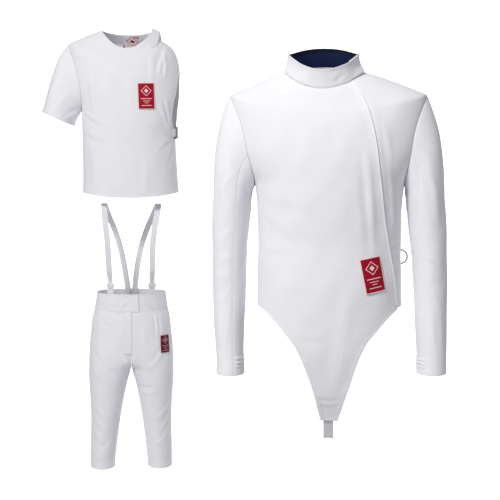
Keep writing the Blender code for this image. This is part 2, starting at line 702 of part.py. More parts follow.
TAB_TILT = math.radians(24)  # the tab slopes down outwards, as the shoulder does
TAB_WIDTH = 0.028
TAB_THICK = 0.0016
SIDE_STRAP = {
    "station": -0.3400,
    "width": 0.026,
    "turns": (56.0, 60.0, 64.0, 95.0, 102.0, 110.0),
    "lifts": (0.0010, 0.0012, 0.0020, 0.0024, 0.0018, 0.0016),
}
BUCKLE_TURN = math.radians(79.0)
BUCKLE_STAND = 0.0062
BUCKLE = {"wide": 0.024, "tall": 0.040, "deep": 0.0050, "rim": 0.0045, "wall": 0.0013}


def protector_parts(garment, cloth, tape, red, white_label, plastic):
    body = Body(PROTECTOR_ROWS)
    armhole = Armhole(body, -1, -0.266, -0.046, math.radians(27), math.radians(27))
    stations = np.concatenate([PROTECTOR_SIDE, armhole.station(CAP_ANGLES), PROTECTOR_YOKE])
    front_table = columns_of(("station", "turn"), PROTECTOR_FRONT_EDGE)["turn"]
    back_table = columns_of(("station", "turn"), PROTECTOR_BACK_EDGE)["turn"]

    def front_right(station):
        return np.radians(front_table(station))

    def back_left(station):
        return np.radians(back_table(station))

    def back_right(station):
        return 2 * math.pi + armhole.back_edge(station)

    even = np.linspace(0, 1, PROTECTOR_FRONT_STRIPS + 1)[None, :]
    turn, station = rows_between(armhole.front_edge, front_right, stations, even, body)
    panel("protector_front", body.point, turn, station, cloth, garment)
    even = np.linspace(0, 1, PROTECTOR_BACK_STRIPS + 1)[None, :]
    turn, station = rows_between(back_left, back_right, stations, even, body)
    panel("protector_back", body.point, turn, station, cloth, garment)

    sleeve = Sleeve(armhole, PROTECTOR_SLEEVE_ROWS, 0.50, 0.76, 0.20, 0.30, 0.85)
    sleeve_tube(sleeve, "protector_sleeve", PROTECTOR_REACHES, cloth, garment)
    label_patch("protector_label", body, PROTECTOR_LABEL, red, garment)
    size_label(garment, body, white_label)
    shoulder_tab(garment, body, cloth)
    side_closing(garment, body, tape, plastic)


def size_label(garment, body, finish):
    """A small label inside the back of the neck."""
    half = SIZE_LABEL["width"] / 2 / 0.075
    turns = math.radians(SIZE_LABEL["turn"]) + np.linspace(-half, half, 4)
    heights = np.linspace(SIZE_LABEL["bottom"], SIZE_LABEL["top"], 5)
    turn, height = np.meshgrid(turns, heights)
    station = body.station_at(turn, height)
    panel("protector_size_label", body.point, turn, station, finish, garment, -CLOTH - 0.0012, LABEL)


def shoulder_tab(garment, body, finish):
    """The tab that closes the left shoulder: it comes over from the back and ends in a point on the front."""
    turn, station, lift = np.array(TAB_SEAT).T
    seat_normal = normals(body.point, np.radians(turn), station)
    seat = body.point(np.radians(turn), station) + lift[:, None] * seat_normal
    path = smooth_path(np.concatenate([seat, SHOULDER_TAB]), 18)
    reach = np.linspace(0, 1, len(path))
    width = TAB_WIDTH * np.where(reach > 0.90, 1 - (reach - 0.90) / 0.10 * 0.50, 1.0)
    face = -upright_normals(path)
    face /= np.linalg.norm(face, axis=1, keepdims=True)
    face[:, 0] = math.tan(TAB_TILT)
    seated = 1 - ease((reach - 0.10) / 0.18)[:, None]
    face = seated * seat_normal[1] + (1 - seated) * face
    ribbon("protector_shoulder_tab", path, face, width, TAB_THICK, finish, garment)


def side_closing(garment, body, tape, plastic):
    """The strap across the open side, and the slide buckle that it runs through, where it is straight."""
    level = SIDE_STRAP["station"]
    turns = np.radians(SIDE_STRAP["turns"])
    lying = body.point(turns, np.full(turns.shape, level))
    out = normals(body.point, turns, np.full(turns.shape, level))
    lift = LIE + WEBBING / 2 + np.array(SIDE_STRAP["lifts"])
    lying = lying + lift[:, None] * out
    face = normals(body.point, np.array(BUCKLE_TURN), np.array(level))
    face[2] = 0.0
    face /= np.linalg.norm(face)
    across = np.array([-face[1], face[0], 0.0])
    centre = body.point(BUCKLE_TURN, level) + BUCKLE_STAND * face
    half = BUCKLE["wide"] / 2 + 0.001
    straight = [centre - half * across, centre, centre + half * across]
    path = np.concatenate([lying[: len(turns) // 2], straight, lying[len(turns) // 2 :]])
    path[:, 2] = centre[2]
    along = np.gradient(path, axis=0)
    faces = np.stack([along[:, 1], -along[:, 0], np.zeros(len(path))], axis=1)
    ribbon("protector_side_strap", path, faces, SIDE_STRAP["width"], WEBBING, tape, garment)
    made = slide_frame("protector_buckle", BUCKLE, plastic, garment)
    made.matrix_local = axes_matrix(across, -face, np.array((0.0, 0.0, 1.0)), centre)


def axes_matrix(x_axis, y_axis, z_axis, centre):
    """A placing that turns the local axes to these three."""
    return Matrix([[x_axis[i], y_axis[i], z_axis[i], centre[i]] for i in range(3)] + [[0.0, 0.0, 0.0, 1.0]])


def slide_frame(name, spec, finish, garment):
    """A rectangular frame with rounded corners: a slide that a flat strap runs through along x."""
    half_tall, half_deep = spec["tall"] / 2, spec["deep"] / 2
    corner = spec["deep"] * 0.28
    corners = ((1, 1), (-1, 1), (-1, -1), (1, -1))
    outline, hole = [], []
    for quarter, (sy, sz) in enumerate(corners):
        for k in range(3):
            angle = math.pi / 4 * (2 * quarter + k)
            y = sy * (half_deep - corner) + corner * math.cos(angle)
            z = sz * (half_tall - corner) + corner * math.sin(angle)
            outline.append((y, z))
            inner = corner * 0.3
            y = sy * (half_deep - spec["wall"] - inner) + inner * math.cos(angle)
            z = sz * (half_tall - spec["rim"] - inner) + inner * math.sin(angle)
            hole.append((y, z))
    ends = np.array([-0.5, 0.5]) * spec["wide"]
    outer = np.array([[(x, y, z) for y, z in outline] for x in ends])
    inner = np.array([[(x, y, z) for y, z in hole] for x in ends])
    return wall(name, outer, inner, finish, garment, True)


# The breeches
WAISTBAND_BOTTOM = -0.058
CROTCH = -0.259
CUFF_TOP = -0.5745
BREECHES_HEM = -0.6075
LEG_NAMES = ("station", "centre", "half", "front", "back", "square")
LEG_ROWS = (
    # Each leg is a rounded section about its own centre, cut off at the middle plane above the crotch
    (-0.6075, 0.0985, 0.0428, 0.060, 0.062, 2.0),
    (-0.5745, 0.0975, 0.0436, 0.062, 0.064, 2.0),
    (-0.4800, 0.0910, 0.0483, 0.069, 0.071, 2.0),
    (-0.3955, 0.0850, 0.0545, 0.079, 0.079, 2.1),
    (-0.3137, 0.0792, 0.0650, 0.090, 0.090, 2.25),
    (-0.282, 0.0757, 0.0700, 0.0940, 0.097, 2.35),
    (-0.259, 0.0725, 0.0726, 0.0965, 0.102, 2.4),
    (-0.252, 0.0690, 0.0760, 0.0975, 0.1035, 2.4),
    (-0.243, 0.0620, 0.0830, 0.0990, 0.1060, 2.4),
    (-0.228, 0.0500, 0.0950, 0.1005, 0.1095, 2.45),
    (-0.191, 0.0300, 0.1130, 0.102, 0.116, 2.5),
    (-0.150, 0.0120, 0.1275, 0.100, 0.115, 2.4),
    (-0.0886, 0.0030, 0.1300, 0.094, 0.101, 2.2),
    (-0.058, 0.0, 0.1258, 0.0878, 0.0888, 2.1),
    (0.001, 0.0, 0.1165, 0.083, 0.081, 2.1),
)
LEG_STATIONS = np.array(
    (-0.5740, -0.526, -0.480, -0.436, -0.3955, -0.360, -0.330, -0.303, -0.280, -0.266, -0.259, -0.252, -0.243,
     -0.228, -0.210, -0.191, -0.170, -0.145, -0.118, -0.0886, WAISTBAND_BOTTOM - SEAM_GAP)
)
LEG_STRIPS = 9
LEG_BACK_SHARES = np.linspace(0, 1, LEG_STRIPS + 1)
LEG_FRONT_SHARES = np.array((0, 0.05, 0.10, 0.15, 0.26, 0.38, 0.46, 0.50, 0.56, 0.68, 0.84, 1.0))
INSEAM_TRIM = SEAM_GAP / 2 / 0.07  # half a gap as an angle, at the thigh's size
OUTSEAM_TRIM = INSEAM_TRIM / 1.2
PLEAT = {"share": 0.50, "span": 0.155, "width": 0.020, "depth": 0.0040, "opens": 0.022, "bottom": -0.215}
BAND_LAP = 0.0225  # how far the waistband's outer end passes the middle
FLY_BOTTOM = -0.200
FLY_THICKNESS = np.array((0.0014, 0.0012, 0.0008, 0.0005))  # from the middle to its stitched edge
BRACE_WIDTH = 0.0170
BRACE_TAB_WIDTH = 0.022
ADJUSTER = {"wide": 0.0125, "tall": 0.029, "deep": 0.0060, "rim": 0.0028, "wall": 0.0012}
BRACE_FRONT = {"right": 0.0725, "left": 0.0700}
BRACE_BACK = 0.0125
BEHIND_BAND = 0.0012  # a flat strap's clearance inside the curved waistband
BRACE_PATH = (
    # x on the right, x on the left, y, z of the strap between the slide and the back of the waistband
    (0.0745, 0.0690, -0.088, 0.085),
    (0.0780, 0.0700, -0.097, 0.155),
    (0.0850, 0.0770, -0.088, 0.225),
    (0.0900, 0.0860, -0.062, 0.272),
    (0.0920, 0.0905, -0.025, 0.299),
    (0.0920, 0.0900, 0.012, 0.302),
    (0.0875, 0.0840, 0.048, 0.285),
    (0.0760, 0.0715, 0.080, 0.250),
    (0.0600, 0.0550, 0.096, 0.210),
    (0.0405, 0.0355, 0.102, 0.150),
    (0.0265, 0.0225, 0.097, 0.087),
    (0.0170, 0.0150, 0.085, 0.030),
)
LABEL_CLEARANCE = 0.0012  # a coarse label on a tightly rounded hip
BREECHES_LABEL = {"x": 0.1105, "height": -0.1690, "wide": 0.0290, "tall": 0.0600}


class Legs:
    """The breeches' surface. An angle of 0 is the outer side, a quarter turn the front, and the inner edge is
    the middle plane above the crotch and the inseam below it."""

    def __init__(self, side):
        self.side = side
        self.column = columns_of(LEG_NAMES, LEG_ROWS)

    def point(self, angle, station):
        angle, station = np.broadcast_arrays(np.asarray(angle, float), np.asarray(station, float))
        value = {name: column(station) for name, column in self.column.items()}
        power = 2 / value["square"]
        deep = np.where(np.sin(angle) > 0, value["front"], value["back"])
        fold = self.pleat(angle, station)
        x = value["centre"] + (value["half"] + fold) * signed_power(np.cos(angle), power)
        y = -(deep + fold) * signed_power(np.sin(angle), power)
        return np.stack([self.side * x, y, station], axis=-1)

    def pleat(self, angle, station):
        """A forward pleat: a ridge, sharp on one side, that opens out below the waistband and fades down the
        thigh."""
        share = 1 - angle / self.inner_angle(station)
        fade = ease((station - PLEAT["bottom"]) / (WAISTBAND_BOTTOM - PLEAT["bottom"]))
        fade = fade * ease((WAISTBAND_BOTTOM - 0.002 - station) / PLEAT["opens"])
        across = (share - PLEAT["share"]) * PLEAT["span"] / PLEAT["width"]
        return PLEAT["depth"] * fade * np.exp(-((across * np.where(across < 0, 2.6, 1.0)) ** 2))

    def inner_angle(self, station):
        share = np.clip(-self.column["centre"](station) / self.column["half"](station), -1, 1)
        return np.arccos(signed_power(share, self.column["square"](station) / 2))

    def angle_at(self, x, station):
        """The angle of the front's point at this distance from the middle plane."""
        share = (x - self.column["centre"](station)) / self.column["half"](station)
        return np.arccos(signed_power(np.clip(share, -1, 1), self.column["square"](station) / 2))

    def normal(self, angle, station):
        return normals(self.point, angle, station) * -self.side


def breeches_parts(garment, cloth, tape, red, plastic):
    for side, word in ((-1, "right"), (1, "left")):
        legs = Legs(side)
        for part, sign, shares in (("front", 1, LEG_FRONT_SHARES), ("back", -1, LEG_BACK_SHARES)):
            stations = LEG_STATIONS[:, None]
            angle = sign * legs.inner_angle(stations) * (1 - shares)
            share = np.broadcast_to(shares, angle.shape)
            station = np.broadcast_to(stations, angle.shape)
            angle = np.where(share == 0, angle - sign * INSEAM_TRIM, angle)
            angle = np.where(share == 1, sign * OUTSEAM_TRIM, angle)
            points = legs.point(angle, station)
            off_middle = side * np.maximum(side * points[..., 0], SEAM_GAP / 2)
            points[..., 0] = np.where(share == 0, off_middle, points[..., 0])
            normal = legs.normal(angle, station)
            on_middle = (share == 0) & (station > CROTCH)
            normal[..., 0] = np.where(on_middle, 0.0, normal[..., 0])
            normal /= np.linalg.norm(normal, axis=-1, keepdims=True)
            outwards = slice(None, None, side * sign)
            outer, lining_side = points[:, outwards], (points - CLOTH * normal)[:, outwards]
            wall(f"breeches_{part}_{word}", outer, lining_side, cloth, garment)
            if (part, word) == ("front", "right"):
                rows = LEG_STATIONS > FLY_BOTTOM
                strips = slice(len(FLY_THICKNESS) - 1, None, -1)
                fly(garment, points[rows][:, strips], normal[rows][:, strips], cloth)
        leg_cuff(f"breeches_cuff_{word}", legs, cloth, garment)
        brace(word, side, garment, tape, plastic)
    waistband(garment, cloth)
    hip_label(garment, red)


def leg_cuff(name, legs, cloth, garment):
    angle = np.linspace(0, 2 * math.pi, 2 * LEG_STRIPS + 1)[:-1]
    stations = np.array((BREECHES_HEM, -0.591, CUFF_TOP - SEAM_GAP))
    angle, station = np.meshgrid(angle * legs.side, stations)
    points = legs.point(-angle, station)
    normal = legs.normal(-angle, station)
    wall(name, points, points - CLOTH * normal, cloth, garment, True)


def waist_surface(turn, station):
    """The waistband's ring, by turn from the front to the wearer's left."""
    right, left = Legs(-1), Legs(1)
    angle = QUARTER - np.abs(np.arctan2(np.sin(turn), np.cos(turn)))
    return np.where((np.sin(turn) > 0)[..., None], left.point(angle, station), right.point(angle, station))


def waistband(garment, cloth):
    """Two bands that meet at the back. The right one's front end laps over the left one."""
    stations = np.array((WAISTBAND_BOTTOM, -0.028, 0.0))
    lap_turn = QUARTER - float(Legs(1).angle_at(BAND_LAP, 0.0))
    gap = SEAM_GAP / 0.17
    for name, first, last, stand in (
        ("breeches_waistband_right", -math.pi + gap, lap_turn, CLOTH + 0.0006),
        ("breeches_waistband_left", -lap_turn, math.pi - gap, 0.0),
    ):
        turn, station = np.meshgrid(np.linspace(first, last, 19), stations)
        points = waist_surface(turn, station)
        normal = normals(waist_surface, turn, station)
        lift = stand * ease((turn + lap_turn + 0.50) / 0.38)[..., None]
        wall(name, points + lift * normal, points + (lift - CLOTH) * normal, cloth, garment)


def fly(garment, beneath, normal, cloth):
    """The fly's facing, on the right front's own points beside the middle, thinner at its stitched edge."""
    thick = FLY_THICKNESS[None, ::-1, None]
    wall("breeches_fly", beneath + (LIE + thick) * normal, beneath + LIE * normal, cloth, garment)


def hip_label(garment, red):
    legs = Legs(1)
    spec = BREECHES_LABEL
    across = spec["x"] + np.linspace(-0.5, 0.5, 5) * spec["wide"]
    up = spec["height"] + np.linspace(-0.5, 0.5, 6) * spec["tall"]
    x, station = np.meshgrid(across, up)
    angle = legs.angle_at(x - (station - spec["height"]) * 0.05, station)
    points = legs.point(angle, station)
    normal = legs.normal(angle, station)
    under = points + LABEL_CLEARANCE * normal
    wall("breeches_label", under + LABEL * normal, under, red, garment)


def brace(word, side, garment, tape, plastic):
    """A brace: a tab in the waistband, a slide, and the strap over the shoulder to the middle of the back."""
    legs = Legs(side)
    heights = np.array((-0.030, -0.015, 0.0))
    angle = np.full(3, float(legs.angle_at(BRACE_FRONT[word], 0.0)))
    face = legs.normal(angle, heights)
    face[:, 2] = 0.0
    face /= np.linalg.norm(face, axis=1, keepdims=True)
    behind_band = legs.point(angle, heights) - (CLOTH + BEHIND_BAND + WEBBING / 2) * face
    top = behind_band[-1]
    rise = np.array([[0.0, 0.0, z] for z in (0.010, 0.020, 0.029, 0.038)])
    tab = np.concatenate([behind_band, top + rise])
    faces = np.concatenate([face, np.repeat(face[-1:], 4, axis=0)])
    ribbon(f"brace_tab_{word}", tab, faces, BRACE_TAB_WIDTH, WEBBING, tape, garment)

    step = (WEBBING + SEAM_GAP) * face[-1]
    back_angle = -np.array([float(legs.angle_at(BRACE_BACK, 0.0))] * 2)
    inside_back = legs.point(back_angle, np.array((0.0, -0.030)))
    inside_back[:, 1] -= CLOTH + 2 * BEHIND_BAND + WEBBING / 2
    over = np.array([(side * (right if side < 0 else left), y, z) for right, left, y, z in BRACE_PATH])
    path = np.concatenate([top + step + rise[1:], over, inside_back])
    strap = smooth_path(path, 44)
    upright = upright_normals(strap)
    upright /= np.linalg.norm(upright, axis=1, keepdims=True)
    twist = 1 - ease((strap[:, 2:] - 0.040) / 0.070)
    twist[len(strap) // 2 :] = 0.0
    strap_face = face[-1] * twist + upright * (1 - twist)
    ribbon(f"brace_{word}", strap, strap_face, BRACE_WIDTH, WEBBING, tape, garment)
    across = np.array([face[-1][1], -face[-1][0], 0.0])
    centre = top + step / 2 + rise[2]
    made = slide_frame(f"brace_slide_{word}", ADJUSTER, plastic, garment)
    made.matrix_local = axes_matrix(np.array((0.0, 0.0, 1.0)), -face[-1], across, centre)


def main():
    for old in list(bpy.data.objects):
        bpy.data.objects.remove(old, do_unlink=True)
    cloth = material("white cotton drill", WHITE, 0.85)
    lining = material("navy lining", NAVY, 0.80)
    tape = material("elastic webbing", GREY_WHITE, 0.80)
    red = material("red woven label", RED, 0.60)
    white_label = material("white woven label", WHITE, 0.60)
    steel = material("nickel-plated wire", STEEL, 0.25, 1.0)
    grey_plastic = material("grey acetal", GREY_PLASTIC, 0.45)
    white_plastic = material("white acetal", WHITE, 0.40)
    garments = {}
    for name, place, yaw, roll in (
        ("jacket", (0.0, 0.0, 0.0), 0.0, 0.0),
        ("protector", PROTECTOR_PLACE, PROTECTOR_YAW, 0.0),
        ("breeches", BREECHES_PLACE, BREECHES_YAW, BREECHES_LEAN),
    ):
        empty = bpy.data.objects.new(name, None)
        empty.location = place
        empty.rotation_euler = (0.0, math.radians(roll), math.radians(yaw))
        bpy.context.scene.collection.objects.link(empty)
        garments[name] = empty
    jacket_parts(garments["jacket"], cloth, lining, tape, red, steel)
    protector_parts(garments["protector"], cloth, tape, red, white_label, grey_plastic)
    breeches_parts(garments["breeches"], cloth, tape, red, white_plastic)


main()
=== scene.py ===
# %% [markdown]
# # A fencing suit, filled out as if worn
# The suit is three garments of white cotton drill: a jacket with a slanting closure, a short-sleeved
# underarm protector and a pair of breeches with braces. Each cut piece is a thin wall of cloth. The packed
# solids give every piece its place, and this script makes the fine surface: folds, seams, hems, stitches,
# weave and light.

# %% Load the frame
import json
import math

import bpy
import numpy as np
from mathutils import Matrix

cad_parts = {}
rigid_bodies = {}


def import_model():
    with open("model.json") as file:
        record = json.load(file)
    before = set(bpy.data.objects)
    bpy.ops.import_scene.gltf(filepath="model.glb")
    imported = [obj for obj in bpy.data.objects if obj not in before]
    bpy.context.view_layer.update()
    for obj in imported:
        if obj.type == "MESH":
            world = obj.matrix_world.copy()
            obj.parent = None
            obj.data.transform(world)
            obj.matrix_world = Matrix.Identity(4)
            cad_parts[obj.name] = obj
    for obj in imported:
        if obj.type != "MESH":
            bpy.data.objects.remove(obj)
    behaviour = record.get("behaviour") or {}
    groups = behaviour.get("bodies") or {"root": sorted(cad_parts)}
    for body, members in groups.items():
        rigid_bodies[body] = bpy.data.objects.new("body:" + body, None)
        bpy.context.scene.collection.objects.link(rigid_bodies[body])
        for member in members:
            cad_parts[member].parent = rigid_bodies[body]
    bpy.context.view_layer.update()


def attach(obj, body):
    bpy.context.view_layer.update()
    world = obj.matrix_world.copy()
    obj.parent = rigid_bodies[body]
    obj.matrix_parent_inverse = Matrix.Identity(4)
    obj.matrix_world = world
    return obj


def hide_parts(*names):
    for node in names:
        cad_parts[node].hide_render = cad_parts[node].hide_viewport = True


for old in list(bpy.data.objects):
    bpy.data.objects.remove(old, do_unlink=True)
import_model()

# %% [markdown]
# ## The camera
# A longer lens flattens a garment the way a catalogue picture does. The lens is worked out from its focal
# length in pixels of the square picture, and the camera looks slightly down and slightly to its left, so
# that the jacket stands right of the middle and the two smaller garments, further away, fill the left.

# %% The camera
FRAME_PIXELS = 500
FOCAL_PIXELS = 1056
SENSOR_MM = 36.0
camera_data = bpy.data.cameras.new("camera")
camera_data.sensor_width = SENSOR_MM
camera_data.lens = SENSOR_MM * FOCAL_PIXELS / FRAME_PIXELS
camera = bpy.data.objects.new("camera", camera_data)
camera.location = (0.0, -2.40, -0.170)
camera.rotation_euler = (math.radians(90 - 5.41), 0.0, math.radians(4.33))
bpy.context.scene.collection.objects.link(camera)
bpy.context.scene.camera = camera
print("lens:", round(camera_data.lens, 2), "mm")

# %% [markdown]
# ## Smooth tables
# A pattern cutter drafts a garment from a few measurements at named heights. Here too a short table gives
# the half widths and depths of each section, and a monotone cubic curve fills in between them. It bends
# smoothly and never overshoots, so a waist can't turn into a ripple as it might with an ordinary spline.


# %% Smooth tables
def smooth_curve(keys, values):
    """A piecewise cubic through the values. Each inner slope is the weighted harmonic mean of its
    neighbours, or zero at a peak, which keeps the curve between its keys."""
    x, y = np.asarray(keys, float), np.asarray(values, float)
    step = np.diff(x)
    slope = np.diff(y) / step
    weight = step[1:] + 2 * step[:-1], 2 * step[1:] + step[:-1]
    safe = np.where(slope == 0, 1.0, slope)
    mean = (slope[1:] * slope[:-1] > 0) * sum(weight) / (weight[0] / safe[:-1] + weight[1] / safe[1:])
    tangent = np.concatenate([slope[:1], mean, slope[-1:]])

    def value(at):
        at = np.clip(at, x[0], x[-1])
        i = np.clip(np.searchsorted(x, at, side="right") - 1, 0, len(step) - 1)
        t = (at - x[i]) / step[i]
        rise = step[i] * (tangent[i] * t * (1 - t) ** 2 - tangent[i + 1] * t**2 * (1 - t))
        return y[i] + (y[i + 1] - y[i]) * t**2 * (3 - 2 * t) + rise

    return value


def columns_of(names, rows):
    """Each named column of a table as a smooth function of its first column."""
    keys = [row[0] for row in rows]
    return {name: smooth_curve(keys, [row[i] for row in rows]) for i, name in enumerate(names)}


def ease(t):
    """0 below 0, 1 above 1, and 3t² − 2t³ between."""
    t = np.clip(t, 0.0, 1.0)
    return t * t * (3 - 2 * t)


def bump_at(distance, width):
    """A bell: 1 at distance 0, falling as exp(−(distance / width)²)."""
    return np.exp(-((distance / width) ** 2))


def signed_power(value, power):
    """The power of the size, with the sign kept, which rounds or squares off a circle's sine and cosine."""
    return np.sign(value) * np.abs(value) ** power


def unit(vectors):
    """The vectors at length 1."""
    return vectors / np.maximum(np.linalg.norm(vectors, axis=-1, keepdims=True), 1e-12)


def run_along(points):
    """The distance run along a line of points, from 0 at the first."""
    return np.concatenate([[0], np.cumsum(np.linalg.norm(np.diff(points, axis=0), axis=1))])


def resampled(at, run, values):
    """Rows of values, known where the run is given, by straight steps at other places."""
    return np.stack([np.interp(at, run, column) for column in values.T], axis=-1)


def grid_quads(rows, columns, round_rows=False, round_columns=False):
    """Quads between neighbours of a grid whose points are numbered row × columns + column."""
    row, column = np.meshgrid(np.arange(rows if round_rows else rows - 1),
                              np.arange(columns if round_columns else columns - 1), indexing="ij")
    here, above, after = row * columns, (row + 1) % rows * columns, (column + 1) % columns
    return np.stack([here + column, here + after, above + after, above + column], -1).reshape(-1, 4)


def grid_normals(points, ring=False):
    """Unit normals of a grid: the cross product of its slopes along the columns and the rows, then a mean
    of each with its neighbours, which keeps a tight spot from tangling."""
    wide = np.concatenate([points[:, -2:], points, points[:, :2]], axis=1) if ring else points
    normal = np.cross(np.gradient(wide, axis=1), np.gradient(wide, axis=0))
    for _ in range(2):
        normal = unit(normal)
        for axis in (0, 1):
            before, after = np.roll(normal, 1, axis), np.roll(normal, -1, axis)
            inner = (normal + 0.5 * before + 0.5 * after) / 2
            inside = [slice(None)] * 3
            inside[axis] = slice(1, -1)
            normal[tuple(inside)] = inner[tuple(inside)]
    return unit(normal)[:, 2:-2] if ring else unit(normal)


# %% [markdown]
# ## The trunk of a garment
# A worn jacket is close to a stack of rounded boxes. A squared-off ellipse, with its own half width for
# each side and its own depth for chest and back, is drawn at each height, and its front and back may lie
# higher or lower than its sides, as a neck and a hem do. The turn is 0 at the front and 90° at the
# wearer's left.


# %% The trunk of a garment
class Body:
    """Point(turn, station): x is the half width times sin(turn), y the depth times cos(turn), each to the
    power 2 / square, and z moves by cos² from the station at the sides to the front's or back's height."""

    NAMES = ("station", "front_z", "back_z", "centre", "right", "left", "front", "back", "square")

    def __init__(self, rows):
        self.column = columns_of(self.NAMES, rows)

    def point(self, turn, station):
        turn, station = np.broadcast_arrays(np.asarray(turn, float), np.asarray(station, float))
        value = {name: column(station) for name, column in self.column.items()}
        power = 2 / value["square"]
        across, along = np.sin(turn), np.cos(turn)
        wide = np.where(across > 0, value["left"], value["right"])
        deep = np.where(along > 0, value["front"], value["back"])
        end_z = np.where(along > 0, value["front_z"], value["back_z"])
        x = value["centre"] + wide * signed_power(across, power)
        return np.stack([x, -deep * signed_power(along, power), station + (end_z - station) * along**2], -1)

    def turn_at(self, x, station):
        """The turn of the front's point at this x: the arcsine of its share of the half width."""
        wide = np.where(x > 0, self.column["left"](station), self.column["right"](station))
        share = np.clip((x - self.column["centre"](station)) / wide, -1, 1)
        return np.arcsin(signed_power(share, self.column["square"](station) / 2))

    def station_at(self, turn, height):
        """The station whose point has this height, found by stepping towards it."""
        station = height
        for _ in range(12):
            station = station + height - self.point(turn, station)[..., 2]
        return station


# %% [markdown]
# ## Armholes and sleeves
# A sleeve is cut with a rounded cap that is eased into the armhole. The armhole here is a loop on the
# trunk, and the sleeve's surface starts on that very loop and fans out to its first round section along a
# smooth Hermite curve, so the two can never part. Below it the sleeve follows its own table down to the
# cuff.


# %% Armholes and sleeves
QUARTER = math.pi / 2
SEAM_GAP = 0.0001  # two sewn edges meet, but don't share their points


class Armhole:
    """A loop: its height rises as (1 − cos(angle)) / 2 from the armpit at 0 to the shoulder at 180
    degrees, and its turn moves off the side by |sin(angle)| times the reach to the front or the back."""

    def __init__(self, body, side, bottom, top, reach):
        self.body, self.side, self.bottom, self.top, self.reach = body, side, bottom, top, math.radians(reach)

    def station(self, angle):
        return self.bottom + (self.top - self.bottom) * (1 - np.cos(angle)) / 2

    def turn(self, angle):
        return self.side * (QUARTER - self.reach * np.sin(angle))

    def angle_at(self, station):
        return np.arccos(1 - 2 * np.clip((station - self.bottom) / (self.top - self.bottom), 0, 1))

    def front_edge(self, station):
        return self.turn(self.angle_at(station))

    def back_edge(self, station):
        return self.turn(2 * math.pi - self.angle_at(station))

    def point(self, angle):
        return self.body.point(self.turn(angle), self.station(angle))


class Sleeve:
    """Point(angle, reach): from reach 0 to 1 a Hermite curve from the armhole to the first section, and
    past it an ellipse of the table's half width and half depth about its own centre, with its own tilt."""

    NAMES = ("reach", "height", "centre_x", "centre_y", "half_width", "half_depth", "tilt")

    def __init__(self, armhole, rows, out, end_out, fullness):
        self.armhole, self.out, self.end_out, self.fullness = armhole, out, end_out, fullness
        self.column = columns_of(self.NAMES, rows)

    def ring(self, angle, reach):
        value = {name: column(reach) for name, column in self.column.items()}
        inward = np.cos(angle) * value["half_width"]
        x = self.armhole.side * (value["centre_x"] - inward * np.cos(value["tilt"]))
        y = value["centre_y"] - np.sin(angle) * value["half_depth"]
        return np.stack([x, y, value["height"] - inward * np.sin(value["tilt"])], -1)

    def leaving(self, angle):
        """The direction out of the armhole: more outwards at the shoulder than under the arm."""
        under, top, front = self.out
        out = under + (top - under) * (1 - np.cos(angle)) / 2 + front * np.sin(angle) ** 2
        return np.stack([self.armhole.side * out, np.zeros_like(out), -np.sqrt(1 - out**2)], -1)

    def point(self, angle, reach):
        angle, reach = np.broadcast_arrays(np.asarray(angle, float), np.asarray(reach, float))
        t = np.clip(reach, 0, 1)[..., None]
        away = self.leaving(angle)
        first = self.armhole.point(angle) + SEAM_GAP * away
        end = self.ring(angle, np.ones_like(reach))
        far = self.fullness * np.linalg.norm(end - first, axis=-1, keepdims=True)
        down = np.array([self.armhole.side * self.end_out, 0, -math.sqrt(1 - self.end_out**2)])
        fan = first * (1 + 2 * t) * (1 - t) ** 2 + far * away * t * (1 - t) ** 2
        fan = fan + end * t**2 * (3 - 2 * t) - far * down * t**2 * (1 - t)
        return np.where(reach[..., None] < 1, fan, self.ring(angle, np.maximum(reach, 1)))


# %% [markdown]
# ## Colours
# Hex values are sRGB, as a picture shows them, but the shaders reckon in linear light. One function turns
# the first into the second. A white cloth is never pure white: about 85 percent of the light comes back.


# %% Colours
def linear(hex_value, alpha=1.0):
    """Linear colour of an sRGB hex value: c / 12.92 when dark, else ((c + 0.055) / 1.055) ** 2.4."""
    share = np.array([int(hex_value[i : i + 2], 16) for i in (1, 3, 5)]) / 255
    light = np.where(share <= 0.04045, share / 12.92, ((share + 0.055) / 1.055) ** 2.4)
    return (*(float(c) for c in light), alpha)


def add_node(tree, kind, links=None, **settings):
    """Adds a shader node of a kind. Settings name its properties or, where it has none of that name, its
    sockets, and links maps a socket's name or number to an output of another node."""
    node = tree.nodes.new(f"ShaderNode{kind}")
    for key, value in settings.items():
        if hasattr(node, key):
            setattr(node, key, value)
        else:
            node.inputs[key.replace("_", " ")].default_value = value
    for key, output in (links or {}).items():
        tree.links.new(output, node.inputs[key])
    return node


def new_material(name, colour, roughness, metallic=0.0):
    """A material with one Principled shader, and that shader."""
    made = bpy.data.materials.new(name)
    made.use_nodes = True
    shader = made.node_tree.nodes["Principled BSDF"]
    shader.inputs["Base Color"].default_value = linear(colour)
    shader.inputs["Roughness"].default_value = roughness
    shader.inputs["Metallic"].default_value = metallic
    return made, shader


def mixed_colour(tree, shader, share, first, second):
    """The shader's colour goes from the first to the second with the share that a socket gives."""
    mixed = add_node(tree, "Mix", {"Factor": share}, data_type="RGBA")
    mixed.inputs["A"].default_value = linear(first)
    mixed.inputs["B"].default_value = linear(second)
    tree.links.new(mixed.outputs["Result"], shader.inputs["Base Color"])


